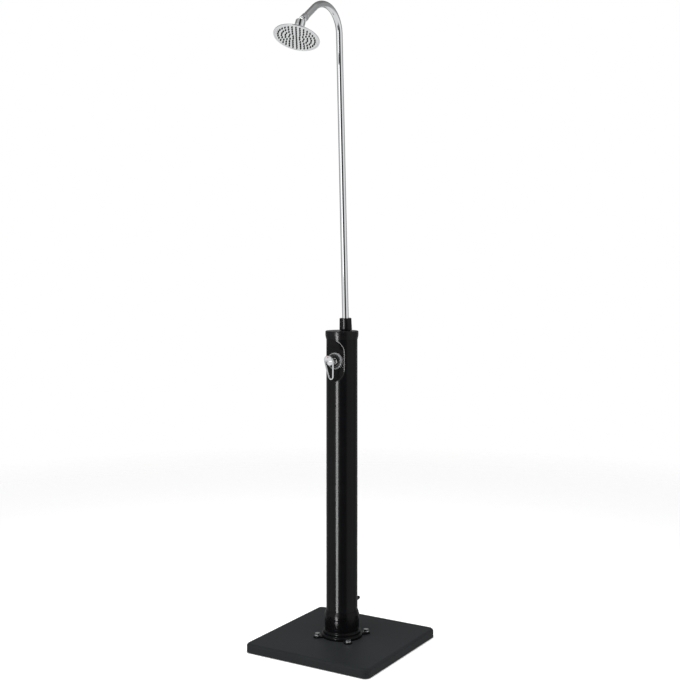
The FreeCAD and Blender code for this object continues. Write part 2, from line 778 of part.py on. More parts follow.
def make_inlet():
    barrel_start = "-water_line - inlet_barrel"
    elbow = turned("inlet_elbow", [
        ("0", barrel_start), ("inlet_barrel", barrel_start), ("inlet_barrel", "elbow_flange"),
        ("inlet_flange", "elbow_flange"), ("inlet_flange", "inlet_seat"), ("inlet_thread", "inlet_seat"),
        ("inlet_thread", "inlet_thread_end"), ("0", "inlet_thread_end"),
    ], INLET)
    turn_up = at("0", "0", "-water_line", "90")
    add(elbow, "AdditiveCylinder", turn_up, Radius="inlet_rise_radius", Height="inlet_rise")
    add(elbow, "SubtractiveCylinder", at("0", "0", "-water_line"), Radius="inlet_bore",
        Height="inlet_thread_end + water_line")
    add(elbow, "SubtractiveCylinder", turn_up, Radius="water_tube - water_tube_wall", Height="inlet_rise")
    add(elbow, "SubtractiveCylinder", at("0", "tube_socket - inlet_rise", "-water_line", "90"),
        Radius="water_hole", Height="tube_socket")
    # a side hole lets part of the cold water into the tank
    add(elbow, "SubtractiveCylinder", at("-inlet_flange", "0", "inlet_barrel", "90", "0; 1; 0"),
        Radius="inlet_bore / 2", Height="inlet_flange")

    seal_blank = turned("seal_model", [
        ("inlet_thread + fit_gap", "inlet_seat"), ("inlet_flange", "inlet_seat"),
        ("inlet_flange", "tank_radius"), ("inlet_thread + fit_gap", "tank_radius"),
    ], INLET, kept=False)
    seal = doc.addObject("Part::Common", "inlet_seal")
    seal.Base = seal_blank
    seal.Tool = solid("Cylinder", Radius="tank_bore - fit_gap / 2", Height="2 * inlet_height")
    keep(seal, "inlet_seal")

    nut = new_body("inlet_locknut", INLET)
    add(nut, "AdditivePrism", at(z="inlet_nut_back"), Circumradius="inlet_nut_radius",
        Height="inlet_nut_thickness")
    add(nut, "SubtractiveCylinder", at(z="inlet_nut_back"), Radius="inlet_thread + fit_gap / 2",
        Height="inlet_nut_thickness")

    thread_hole = "inlet_thread + fit_gap / 2"
    waist_start = "connector_end - 4 * connector_step"
    waist_end = "connector_end - 3 * connector_step"
    tip_start = "connector_end - connector_step"
    turned("hose_connector", [
        ("connector_bore", "connector_ledge"), (thread_hole, "connector_ledge"),
        (thread_hole, "inlet_nut_end"), ("connector_base_radius", "inlet_nut_end"),
        ("connector_base_radius", "connector_base_end"),
        ("connector_ridge", "connector_base_end + connector_slope"), ("connector_ridge", waist_start),
        ("connector_waist", waist_start), ("connector_waist", waist_end), ("connector_ridge", waist_end),
        ("connector_ridge", tip_start), ("connector_waist", tip_start),
        ("connector_waist", "connector_end"), ("connector_bore", "connector_end"),
    ], INLET, [("connector_edge", [("connector_base_radius", "inlet_nut_end"),
                                   ("connector_base_radius", "connector_base_end"),
                                   ("connector_waist", "connector_end")])])
    seal_low = f"({waist_start} + {waist_end} - hose_seal_width) / 2"
    seal_ring = f"{seal_low} + hose_seal_width"
    turned("hose_seal", [
        ("connector_waist + fit_gap / 2", seal_low), ("connector_ridge - 2 * fit_gap", seal_low),
        ("connector_ridge - 2 * fit_gap", seal_ring), ("connector_waist + fit_gap / 2", seal_ring),
    ], INLET)
    filter_end = "inlet_thread_end + filter_thickness"
    turned("inlet_filter", [
        ("0", "inlet_thread_end"), ("inlet_thread - fit_gap", "inlet_thread_end"),
        ("inlet_thread - fit_gap", filter_end), ("0", filter_end),
    ], INLET)

    pipe_ring = [("water_tube - water_tube_wall", "{0}"), ("water_tube", "{0}"), ("water_tube", "{1}"),
                 ("water_tube - water_tube_wall", "{1}")]
    low = "inlet_height + inlet_rise - tube_socket + fit_gap"
    high = "valve_height - mixer_half_height + tube_socket - fit_gap"
    turned("cold_feed_tube", [(r, z.format(low, high)) for r, z in pipe_ring], at("0", "-water_line"))


def make_mixed_tube():
    """The short bent tube from the mixer's top to the riser's foot, an S of two arcs."""
    low = "valve_height + mixer_half_height - tube_socket + fit_gap"
    high = "boss_bottom + tube_socket - fit_gap"
    body = new_body("mixed_water_tube")
    path = new_sketch(body, "YZ_Plane")
    start = Vector(-number("water_line"), number(low), 0)
    end = Vector(number("riser_back"), number(high), 0)
    lead = Vector(0, number("tube_socket"), 0)
    from_point = start + lead
    to_point = end - lead
    span = to_point - from_point
    bend = span.Length ** 2 / (4 * span.x)
    half = math.atan2(span.x, span.y)
    middle = (from_point + to_point) * 0.5
    lower_middle = from_point + Vector(bend - bend * math.cos(half), bend * math.sin(half), 0)
    upper_middle = to_point - Vector(bend - bend * math.cos(half), bend * math.sin(half), 0)
    for edge in (Part.LineSegment(start, from_point), Part.Arc(from_point, lower_middle, middle),
                 Part.Arc(middle, upper_middle, to_point), Part.LineSegment(to_point, end)):
        path.addGeometry(edge)
    ring = new_sketch(body, "XY_Plane", low)
    circle(ring, "0", "-water_line", "water_tube")
    circle(ring, "0", "-water_line", "water_tube - water_tube_wall")
    doc.recompute()
    tube = body.newObject("PartDesign::AdditivePipe", "Pipe")
    tube.Profile = ring
    tube.Spine = (path, ["Edge1", "Edge2", "Edge3", "Edge4"])
    tube.Transition = "Transformed"
    doc.recompute()


def make_mixer():
    mixer = turned("mixer_body", [
        ("0", "valve_back"), ("mixer_radius", "valve_back"), ("mixer_radius", "flange_back"),
        ("mixer_flange", "flange_back"), ("mixer_flange", "flange_back + mixer_flange_thickness"),
        ("mixer_neck", "flange_back + mixer_flange_thickness"), ("mixer_neck", "cartridge_top"),
        ("0", "cartridge_top"),
    ], VALVE)
    for sign, turn_angle in (("-", "90"), ("", "-90")):

        def across(y):
            return at("0", y, "mixer_cross", turn_angle)

        add(mixer, "AdditiveCylinder", across("0"), Radius="mixer_boss", Height="mixer_half_height")
        add(mixer, "SubtractiveCylinder", across(f"{sign}(mixer_half_height - tube_socket)"),
            Radius="water_hole", Height="tube_socket")
        add(mixer, "SubtractiveCylinder", across(f"{sign}port_offset / 2"), Radius="way_radius",
            Height="mixer_half_height")
        add(mixer, "SubtractiveCylinder", at("0", f"{sign}port_offset", "mixer_cross"),
            Radius="port_radius", Height="cartridge_floor - mixer_cross")
    add(mixer, "SubtractiveCylinder", at("outlet_offset", "0", "valve_back"), Radius="port_radius",
        Height="cartridge_floor - valve_back")
    add(mixer, "SubtractiveCylinder", at(z="cartridge_floor"), Radius="cartridge_radius + fit_gap",
        Height="cartridge_length")

    turned("wall_gasket", [
        ("neck_hole", "wall_inside - wall_seal"), ("mixer_flange", "wall_inside - wall_seal"),
        ("mixer_flange", "wall_inside"), ("neck_hole", "wall_inside"),
    ], VALVE)

    locknut = new_body("mixer_locknut", VALVE)
    add(locknut, "AdditivePrism", at(z="tap_seat"), Circumradius="locknut_flats / 2 / cos(30)",
        Height="locknut_thickness")
    add(locknut, "SubtractiveCylinder", at(z="tap_seat"), Radius="mixer_neck + fit_gap / 2",
        Height="locknut_thickness")

    rose_bore = "locknut_flats / 2 / cos(30) + free_gap"
    band_edge = "rose_radius - rose_band"
    turned("tap_rose", [
        (rose_bore, "tap_seat"), ("rose_radius", "tap_seat"), ("rose_radius", "rose_front"),
        (band_edge, "rose_front"), (f"{band_edge} - rose_slope", "rose_front - rose_step"),
        ("nut_rim + free_gap", "rose_front - rose_step"),
        ("nut_rim + free_gap", "locknut_front + fit_gap"), (rose_bore, "locknut_front + fit_gap"),
    ], VALVE, [("rose_edge", [("rose_radius", "rose_front")]),
               ("rose_inner_edge", [(band_edge, "rose_front")])])

    turned("cartridge_nut", [
        ("mixer_neck + fit_gap / 2", "locknut_front + fit_gap"), ("nut_rim", "locknut_front + fit_gap"),
        ("nut_rim", "nut_front"), ("nut_mouth", "nut_front"), ("nut_mouth", "cartridge_top"),
        ("mixer_neck + fit_gap / 2", "cartridge_top"),
    ], VALVE, [("nut_edge", [("nut_rim", "nut_front"), ("nut_mouth", "nut_front")])])

    case = turned("cartridge_case", [
        ("0", "cartridge_floor"), ("cartridge_radius", "cartridge_floor"),
        ("cartridge_radius", "cartridge_top"), ("cartridge_mouth", "cartridge_top"),
        ("cartridge_mouth", "rotor_top + 2 * fit_gap"),
        ("cartridge_bore", "rotor_top + 2 * fit_gap"), ("cartridge_bore", "disc_seat"), ("0", "disc_seat"),
    ], VALVE)
    fixed = turned("fixed_disc", [
        ("0", "disc_seat"), ("cartridge_bore - fit_gap / 2", "disc_seat"),
        ("cartridge_bore - fit_gap / 2", "disc_seat + disc_thickness"), ("0", "disc_seat + disc_thickness"),
    ], VALVE)
    for body in (case, fixed):
        for x, y in (("0", "port_offset"), ("0", "-port_offset"), ("outlet_offset", "0")):
            add(body, "SubtractiveCylinder", at(x, y, "cartridge_floor"), Radius="port_radius",
                Height="cartridge_wall + disc_thickness")

    shuttle = turned("moving_disc", [
        ("0", "shuttle_seat"), ("shuttle_radius", "shuttle_seat"), ("shuttle_radius", "shuttle_top"),
        ("shuttle_hub", "shuttle_top"), ("shuttle_hub", "shuttle_hub_top"), ("0", "shuttle_hub_top"),
    ], VALVE)
    add(shuttle, "SubtractiveCylinder", at(z="shuttle_seat"), Radius="shuttle_radius / 2",
        Height="shuttle_recess")
    add(shuttle, "SubtractiveCylinder", at(z="drive_place - drive_ball - free_gap"),
        Radius="drive_ball + free_gap", Height="drive_arm")

    rotor = turned("cartridge_rotor", [
        ("0", "shuttle_top + free_gap"), ("cartridge_bore - run_gap", "shuttle_top + free_gap"),
        ("cartridge_bore - run_gap", "rotor_top"), ("0", "rotor_top"),
    ], VALVE)
    slot_half = "shuttle_hub + free_gap"
    add(rotor, "SubtractiveBox", at(f"-({slot_half})", "-slot_half_length", "shuttle_top"),
        Length=f"2 * ({slot_half})", Width="2 * slot_half_length", Height="rotor_top - shuttle_top")
    cross_pin = at("-pivot_half_length", "0", "pivot_distance", "90", "0; 1; 0")
    add(rotor, "SubtractiveCylinder", cross_pin, Radius="pivot_radius + fit_gap / 4",
        Height="2 * pivot_half_length")

    pin = new_body("pivot_pin", VALVE)
    add(pin, "AdditiveCylinder", cross_pin, Radius="pivot_radius", Height="2 * pivot_half_length")

    spindle = turned("lever_spindle", [
        ("0", "drive_place"), ("drive_neck", "drive_place"),
        ("drive_neck", "drive_place + drive_neck_length"),
        ("spindle_radius", "drive_place + drive_neck_length + drive_taper"),
        ("spindle_radius", "spindle_end"), ("0", "spindle_end"),
    ], VALVE, [("spindle_edge", [("spindle_radius", "spindle_end")])])
    add(spindle, "AdditiveSphere", at(z="drive_place"), Radius="drive_ball")
    add(spindle, "SubtractiveCylinder", cross_pin, Radius="pivot_radius + run_gap",
        Height="2 * pivot_half_length")


def make_lever():
    place = f"{VALVE} * {at(z='lever_distance', angle='lever_lean')} * {at(y='lever_rise')}"
    ring = new_body("lever_ring_model", place, kept=False)
    for kind, inset in (("Pad", "0"), ("Pocket", "lever_wire")):
        sketch = new_sketch(ring, "XY_Plane")
        head = f"(lever_head - {inset})"
        tip = f"(lever_tip - {inset})"
        slope = "(lever_head - lever_tip) / lever_drop"
        across = f"sqrt(1 - ({slope})^2)"
        # the straight sides touch both round ends, so they meet them at this slope
        low = [f"{tip} * {across}", f"-lever_drop - {tip} * {slope}"]
        high = [f"{head} * {across}", f"-{head} * {slope}"]
        tip_bow = f"-({tip} - {tip} * {slope})"
        head_bow = [f"-({head} + {head} * {slope})"] if kind == "Pad" else []
        outline(sketch, [(f"-{low[0]}", low[1], tip_bow), tuple(low), tuple(high + head_bow),
                         (f"-{high[0]}", high[1])])
        feature = ring.newObject("PartDesign::" + kind, kind)
        feature.Profile = sketch
        feature.Midplane = True
        feature.setExpression("Length", bound("lever_thickness"))
        doc.recompute()
    half = number("lever_thickness / 2")
    corner_y = number(high[1])

    def upper_corner(edge):
        box = edge.BoundBox
        inside = abs(box.XMin) < number("lever_head - lever_wire / 2")
        return inside and box.ZLength > half and near(box.YMin, corner_y) and near(box.YMax, corner_y)

    fillet(ring, "lever_wire / 2", upper_corner)
    fillet(ring, "lever_round", lambda edge: level(edge, half) or level(edge, -half))

    stem = turned("lever_stem_model", [
        ("0", "stem_start"), ("stem_radius", "stem_start"), ("stem_waist", "stem_start + stem_waist_start"),
        ("stem_head", "stem_start + stem_head_start"), ("stem_head", "stem_start + stem_head_end"),
        ("stem_face", "lever_distance - stem_face_depth"), ("0", "lever_distance"),
    ], VALVE, [("stem_edge", [("stem_head", "stem_start + stem_head_end"),
                              ("stem_face", "lever_distance - stem_face_depth")])], kept=False)
    grub_place = f"{VALVE} * {at(z='grub_distance', angle='-90')}"  # its axis points up
    index_place = f"{place} * {at(y='index_offset')}"
    tools = [
        solid("Cylinder", f"{VALVE} * {at(z='stem_start')}", Radius="spindle_radius + fit_gap / 2",
              Height="spindle_end - stem_start + fit_gap"),
        solid("Cylinder", grub_place, Radius="grub_radius + fit_gap / 4", Height="2 * stem_head"),
        solid("Cylinder", index_place, Radius="index_radius + fit_gap / 2", Height="lever_thickness"),
    ]
    keep(cut(joined([ring, stem]), joined(tools), "lever_handle_solid"), "lever_handle")

    turned("grub_screw", [
        ("0", "spindle_radius"), ("grub_radius", "spindle_radius"),
        ("grub_radius", "stem_radius + grub_stand"), ("0", "stem_radius + grub_stand"),
    ], grub_place)
    turned("index_plug", [
        ("0", "0"), ("index_radius", "0"), ("index_radius", "lever_thickness / 2 - 2 * fit_gap"),
        ("0", "lever_thickness / 2 - 2 * fit_gap"),
    ], index_place)


def make_riser():
    pipe = new_body("riser_pipe", RISER)
    path = new_sketch(pipe, "YZ_Plane")
    foot = Vector(0, number("free_gap - riser_depth"), 0)
    bend_start = Vector(0, number("riser_run"), 0)
    rear = number("rear_bend")
    front = number("front_bend")
    split = math.radians(number("bend_split"))
    last = math.radians(number("bend_angle"))
    rear_middle = Vector(-rear, bend_start.y, 0)
    front_middle = rear_middle + Vector(math.cos(split), math.sin(split), 0) * (rear - front)

    def on(middle, radius, angle):
        return middle + Vector(math.cos(angle), math.sin(angle), 0) * radius

    joint = on(rear_middle, rear, split)
    bend_end = on(front_middle, front, last)
    arm = Vector(-math.sin(last), math.cos(last), 0) * number("pipe_end")
    for edge in (Part.LineSegment(foot, bend_start),
                 Part.Arc(bend_start, on(rear_middle, rear, split / 2), joint),
                 Part.Arc(joint, on(front_middle, front, (split + last) / 2), bend_end),
                 Part.LineSegment(bend_end, bend_end + arm)):
        path.addGeometry(edge)
    ring = new_sketch(pipe, "XY_Plane", "free_gap - riser_depth")
    circle(ring, "0", "0", "riser_radius")
    circle(ring, "0", "0", "riser_radius - riser_wall")
    doc.recompute()
    tube = pipe.newObject("PartDesign::AdditivePipe", "Pipe")
    tube.Profile = ring
    tube.Spine = (path, ["Edge1", "Edge2", "Edge3", "Edge4"])
    doc.recompute()

    turned("riser_catch_ring", [
        ("riser_radius + fit_gap / 4", "catch_start"), ("catch_ring", "catch_start"),
        ("catch_ring", "catch_end"), ("riser_radius + fit_gap / 4", "catch_end"),
    ], RISER)

    seal = turned("seal_ring_model", [
        ("riser_hole", "0"), ("riser_hole + seal_depth", "0"), ("riser_hole + seal_depth", "seal_width"),
        ("riser_hole", "seal_width"),
    ], kept=False)
    group("riser_seals", seal, [f"{RISER} * {at(z=step)}" for step in ("lower_seal", "upper_seal")])

    nut = turned("riser_nut", [
        ("thread_hole", "riser_nut_start"), ("riser_nut_lower", "riser_nut_start"),
        ("riser_nut_upper", "riser_nut_end"), ("riser_radius + free_gap", "riser_nut_end"),
        ("riser_radius + free_gap", "riser_nut_end - riser_nut_roof"),
        ("catch_ring + free_gap", "riser_nut_end - riser_nut_roof"),
        ("catch_ring + free_gap", "spigot_top + fit_gap"), ("thread_hole", "spigot_top + fit_gap"),
    ], RISER, [("riser_nut_edge", [("riser_nut_upper", "riser_nut_end")]),
               ("riser_nut_foot_edge", [("riser_nut_lower", "riser_nut_start")])])
    height = "(riser_nut_end - riser_nut_start)"
    taper = f"atan((riser_nut_upper - riser_nut_lower) / {height})"
    groove = add(nut, "SubtractiveCylinder",
                 at("riser_nut_lower + rib_sink", "0", "riser_nut_start - rib_start", taper, "0; 1; 0"),
                 Radius="rib_groove", Height=f"{height} * rib_share")
    doc.recompute()
    around(nut, [groove], "rib_count")


def make_ball_joint():
    ball = turned("ball_connector", [
        ("0", "0"), ("ball_neck", "0"), ("ball_neck", "sleeve_start"), ("sleeve_radius", "sleeve_start"),
        ("sleeve_radius", "sleeve_end"), ("riser_radius + fit_gap / 2", "sleeve_end"),
        ("riser_radius + fit_gap / 2", "sleeve_floor"), ("0", "sleeve_floor"),
    ], ARM_END, [("sleeve_edge", [("sleeve_radius", "sleeve_start")]),
                 ("sleeve_end_edge", [("sleeve_radius", "sleeve_end")])])
    add(ball, "AdditiveSphere", Radius="ball_radius")
    add(ball, "SubtractiveCylinder", at(z="-ball_radius"), Radius="ball_bore",
        Height="ball_radius + sleeve_floor")

    turned("connector_washer", [
        ("ball_neck", "sleeve_floor"), ("riser_radius", "sleeve_floor"),
        ("riser_radius", "sleeve_floor + sleeve_washer"), ("ball_neck", "sleeve_floor + sleeve_washer"),
    ], ARM_END)

    liner = new_body("ball_liner", ARM_END)
    add(liner, "AdditiveSphere", Radius="liner_radius")
    add(liner, "SubtractiveSphere", Radius="ball_radius + run_gap")
    add(liner, "SubtractiveCylinder", Radius="liner_mouth", Height="liner_radius")
    add(liner, "SubtractiveCylinder", at(z="-liner_radius"), Radius="liner_outlet", Height="liner_radius")

    swivel = turned("swivel_nut", [
        ("swivel_neck + fit_gap", "-swivel_bottom"), ("swivel_radius", "-swivel_bottom"),
        ("swivel_radius", "swivel_top"), ("ball_neck", "swivel_top"), ("ball_neck", "-swivel_top / 2"),
        ("swivel_neck + fit_gap", "-swivel_top / 2"),
    ], HEAD, [("swivel_edge", [("swivel_radius", "swivel_top")]),
              ("swivel_lower_edge", [("swivel_radius", "-swivel_bottom")])])
    add(swivel, "SubtractiveSphere", Radius="cup_radius")


def make_head():
    hub_z = "head_hub_height - head_drop"
    shoulder_z = "head_shoulder_height - head_drop"
    rim_z = "head_rim - head_drop"
    neck_top = "-swivel_top / 2 - fit_gap"
    neck_bottom = "-swivel_bottom - fit_gap"
    land_edge = "face_radius - head_rim_width"
    shell = turned("head_shell", [
        ("0", neck_top), ("swivel_neck", neck_top), ("swivel_neck", neck_bottom),
        ("head_hub_radius - head_hub_taper", neck_bottom), ("head_hub_radius", hub_z),
        ("head_shoulder_radius", shoulder_z, "head_bow"), ("head_radius", rim_z),
        ("head_radius", "-head_drop"), ("face_radius + fit_gap", "-head_drop"),
        ("face_radius + fit_gap", "mat_back"), (land_edge, "mat_back"),
        (land_edge, "mat_back + head_land"), ("head_shoulder_radius", f"{shoulder_z} - head_skin"),
        ("head_inlet + head_skin", f"{hub_z} - head_skin"), ("head_inlet", hub_z),
        ("head_inlet", "-cup_radius"), ("0", "-cup_radius"),
    ], HEAD, [("head_hub_fillet", [("head_hub_radius", hub_z)]),
              ("head_shoulder_fillet", [("head_shoulder_radius", shoulder_z)]),
              ("head_rim_edge", [("head_radius", rim_z), ("head_radius", "-head_drop")])])
    add(shell, "SubtractiveCylinder", at(z="-cup_radius - head_skin"), Radius="head_inlet",
        Height="cup_radius")
    add(shell, "SubtractiveSphere", Radius="cup_radius")

    mat = turned("nozzle_mat", [
        ("0", "face_back"), ("face_radius", "face_back"), ("face_radius", "mat_back"), ("0", "mat_back"),
    ], HEAD)
    face = turned("head_face", [
        ("0", "face_front"), ("face_radius", "face_front"), ("face_radius", "face_back"),
        ("0", "face_back"),
    ], HEAD, [("face_edge", [("face_radius", "face_front")])])
    for ring in range(int(number("nozzle_rings")) + 1):
        spot = f"{ring} * nozzle_pitch"
        nub = add(mat, "AdditiveCone", at(spot, "0", "nozzle_front"), Radius1="nozzle_tip",
                  Radius2="nozzle_radius", Height="face_back - nozzle_front")
        jet = add(mat, "SubtractiveCylinder", at(spot, "0", "nozzle_front"), Radius="nozzle_bore",
                  Height="mat_back - nozzle_front")
        hole = add(face, "SubtractiveCylinder", at(spot, "0", "face_front"),
                   Radius="nozzle_radius + fit_gap / 2", Height="face_thickness")
        doc.recompute()
        if ring:
            around(mat, [nub, jet], f"{6 * ring}")
            around(face, [hole], f"{6 * ring}")

    # the face and mat are screwed to the shell's land, outside the nozzles
    screw_place = "face_radius - head_rim_width / 2"
    for body in (face, mat, shell):
        hole = add(body, "SubtractiveCylinder", at("0", screw_place, "face_front"),
                   Radius="face_screw_radius + fit_gap / 2", Height="face_screw_length + fit_gap")
        doc.recompute()
        around(body, [hole], "face_screws")
    sink = add(face, "SubtractiveCylinder", at("0", screw_place, "face_front"),
               Radius="face_screw_head + fit_gap / 2", Height="face_screw_head_height")
    doc.recompute()
    around(face, [sink], "face_screws")
    screw = turned("face_screw_model", [
        ("0", "0"), ("face_screw_head", "0"), ("face_screw_head", "face_screw_head_height"),
        ("face_screw_radius", "face_screw_head_height"), ("face_screw_radius", "face_screw_length"),
        ("0", "face_screw_length"),
    ], kept=False)
    turns = [at(angle=f"360 / face_screws * {index}", about="0; 0; 1")
             for index in range(int(number("face_screws")))]
    group("face_screws", screw, [f"{HEAD} * {turn} * {at('0', screw_place, 'face_front')}"
                                 for turn in turns])


make_base()
make_foot()
make_tank()
make_inlet()
make_mixed_tube()
make_mixer()
make_lever()
make_riser()
make_ball_joint()
make_head()
doc.recompute()

for item in doc.Objects:
    faults = [state for state in item.State if state in ("Invalid", "Error")]
    if faults or not item.isValid():
        raise RuntimeError(f"{item.Label} failed: {item.State}")
for item in PIECES:
    shape = item.Shape
    if shape.isNull() or not shape.isValid() or not shape.Solids:
        raise RuntimeError(f"{item.Label} has no sound shape")

os.makedirs("parts", exist_ok=True)
for item in PIECES:
    item.Shape.exportStep(f"parts/{item.Label}.step")
    box = item.Shape.BoundBox
    print(f"{item.Label}: {len(item.Shape.Solids)} solid, {item.Shape.Volume / 1000:.2f} cm3, "
          f"z {box.ZMin:.1f} to {box.ZMax:.1f}")
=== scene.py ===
import json
import math
import bmesh
import bpy
from mathutils import Matrix, Vector


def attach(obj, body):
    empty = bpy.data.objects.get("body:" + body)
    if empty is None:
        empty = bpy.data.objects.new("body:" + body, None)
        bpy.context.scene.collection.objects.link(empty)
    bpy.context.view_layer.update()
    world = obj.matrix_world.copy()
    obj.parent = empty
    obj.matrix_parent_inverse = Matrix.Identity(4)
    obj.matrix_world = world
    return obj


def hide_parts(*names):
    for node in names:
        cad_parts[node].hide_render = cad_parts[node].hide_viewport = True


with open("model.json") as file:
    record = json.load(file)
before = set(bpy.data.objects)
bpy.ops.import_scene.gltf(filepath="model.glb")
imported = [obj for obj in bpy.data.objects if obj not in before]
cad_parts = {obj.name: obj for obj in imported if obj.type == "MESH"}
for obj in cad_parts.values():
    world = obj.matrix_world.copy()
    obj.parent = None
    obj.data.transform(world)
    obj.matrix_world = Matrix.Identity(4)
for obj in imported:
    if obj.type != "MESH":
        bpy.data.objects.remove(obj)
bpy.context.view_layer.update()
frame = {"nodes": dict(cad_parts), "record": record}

nodes = frame["nodes"]
print("frame loaded,", len(nodes), "nodes")

# ---------- places on the object, as the solids have them ----------

postPlaces = {
    "valveHeight": 0.957,
    "tapBack": 0.0035,
    "inletHeight": 0.130,
    "riserBack": 0.025,
    "riserStart": 1.0547,
    "riserLean": 2.4,
    "bendAngle": 124.96,
    "ball": (0.0, -0.2533455, 2.0476273),
    "headTilt": 23.0,
}


def turnedAbout(spot, degrees):
    return Matrix.Translation(spot) @ Matrix.Rotation(math.radians(degrees), 4, "X")


# z points out of the dish, y up
valvePlace = turnedAbout((0, -postPlaces["tapBack"], postPlaces["valveHeight"]), 90)
inletPlace = turnedAbout((0, 0, postPlaces["inletHeight"]), -90)  # z points backwards
riserPlace = turnedAbout((0, postPlaces["riserBack"], postPlaces["riserStart"]), postPlaces["riserLean"])
armPlace = turnedAbout(postPlaces["ball"], postPlaces["bendAngle"] + postPlaces["riserLean"] - 180)
headPlace = turnedAbout(postPlaces["ball"], -postPlaces["headTilt"])  # z points away from the spray


# ---------- finishes ----------

def newGroup(name, inputs, outputs):
    group = bpy.data.node_groups.new(name, "ShaderNodeTree")
    for label, value in inputs.items():
        socket = group.interface.new_socket(label, in_out="INPUT", socket_type="NodeSocketFloat")
        socket.default_value = value
    for label in outputs:
        group.interface.new_socket(label, in_out="OUTPUT", socket_type="NodeSocketFloat")
    start = group.nodes.new("NodeGroupInput")
    end = group.nodes.new("NodeGroupOutput")
    return group, start, end


def mathNode(tree, operation, first, second=None):
    node = tree.nodes.new("ShaderNodeMath")
    node.operation = operation
    node.use_clamp = True
    for socket, value in zip(node.inputs, (first, second)):
        if isinstance(value, (int, float)):
            socket.default_value = value
        elif value is not None:
            tree.links.new(value, socket)
    return node.outputs[0]


# edge wear, and on the tap rose a painted rim highlight: where the surface turns sharply outwards, broken up
# by noise
wearAndHighlightGroup, start, end = newGroup("edgeWearAndHighlight", {"Low": 0.53, "High": 0.6, "Scale": 60.0}, ["Mask"])
shape = wearAndHighlightGroup.nodes.new("ShaderNodeNewGeometry")
spread = wearAndHighlightGroup.nodes.new("ShaderNodeMapRange")
wearAndHighlightGroup.links.new(shape.outputs["Pointiness"], spread.inputs["Value"])
wearAndHighlightGroup.links.new(start.outputs["Low"], spread.inputs["From Min"])
wearAndHighlightGroup.links.new(start.outputs["High"], spread.inputs["From Max"])
where = wearAndHighlightGroup.nodes.new("ShaderNodeTexCoord")
patchy = wearAndHighlightGroup.nodes.new("ShaderNodeTexNoise")
patchy.inputs["Detail"].default_value = 5
wearAndHighlightGroup.links.new(where.outputs["Object"], patchy.inputs["Vector"])
wearAndHighlightGroup.links.new(start.outputs["Scale"], patchy.inputs["Scale"])
wearAndHighlightGroup.links.new(mathNode(wearAndHighlightGroup, "MULTIPLY", spread.outputs["Result"], patchy.outputs["Fac"]),
                    end.inputs["Mask"])

# mottle: slow cloudy change over the surface, from handling and water marks
mottleGroup, start, end = newGroup("mottle", {"Scale": 12.0, "Contrast": 1.5}, ["Value"])
where = mottleGroup.nodes.new("ShaderNodeTexCoord")
cloud = mottleGroup.nodes.new("ShaderNodeTexNoise")
cloud.inputs["Detail"].default_value = 4
cloud.inputs["Roughness"].default_value = 0.6
mottleGroup.links.new(where.outputs["Object"], cloud.inputs["Vector"])
mottleGroup.links.new(start.outputs["Scale"], cloud.inputs["Scale"])
centred = mathNode(mottleGroup, "SUBTRACT", cloud.outputs["Fac"], 0.5)
centred.node.use_clamp = False
scaled = mathNode(mottleGroup, "MULTIPLY", centred, start.outputs["Contrast"])
scaled.node.use_clamp = False
mottleGroup.links.new(mathNode(mottleGroup, "ADD", scaled, 0.5), end.inputs["Value"])

# grain: the fine skin of a moulded, cast or brushed surface; Stretch draws it out along Z
grainGroup, start, end = newGroup("grain", {"Scale": 900.0, "Stretch": 1.0, "Pebble": 0.5}, ["Height"])
where = grainGroup.nodes.new("ShaderNodeTexCoord")
along = grainGroup.nodes.new("ShaderNodeCombineXYZ")
along.inputs["X"].default_value = 1
along.inputs["Y"].default_value = 1
grainGroup.links.new(start.outputs["Stretch"], along.inputs["Z"])
drawn = grainGroup.nodes.new("ShaderNodeVectorMath")
drawn.operation = "MULTIPLY"
grainGroup.links.new(where.outputs["Object"], drawn.inputs[0])
grainGroup.links.new(along.outputs["Vector"], drawn.inputs[1])
fine = grainGroup.nodes.new("ShaderNodeTexNoise")
fine.inputs["Detail"].default_value = 6
pebbles = grainGroup.nodes.new("ShaderNodeTexVoronoi")
for texture in (fine, pebbles):
    grainGroup.links.new(drawn.outputs["Vector"], texture.inputs["Vector"])
    grainGroup.links.new(start.outputs["Scale"], texture.inputs["Scale"])
mixed = grainGroup.nodes.new("ShaderNodeMix")
grainGroup.links.new(start.outputs["Pebble"], mixed.inputs["Factor"])
grainGroup.links.new(fine.outputs["Fac"], mixed.inputs["A"])
grainGroup.links.new(pebbles.outputs["Distance"], mixed.inputs["B"])
grainGroup.links.new(mixed.outputs["Result"], end.inputs["Height"])


def placeGroup(tree, group, **values):
    node = tree.nodes.new("ShaderNodeGroup")
    node.node_tree = group
    for label, value in values.items():
        node.inputs[label].default_value = value
    return node


def blendColours(tree, factor, first, second):
    node = tree.nodes.new("ShaderNodeMix")
    node.data_type = "RGBA"
    tree.links.new(factor, node.inputs["Factor"])
    for socket, value in ((node.inputs[6], first), (node.inputs[7], second)):
        if isinstance(value, tuple):
            socket.default_value = (*value, 1)
        else:
            tree.links.new(value, socket)
    return node.outputs[2]


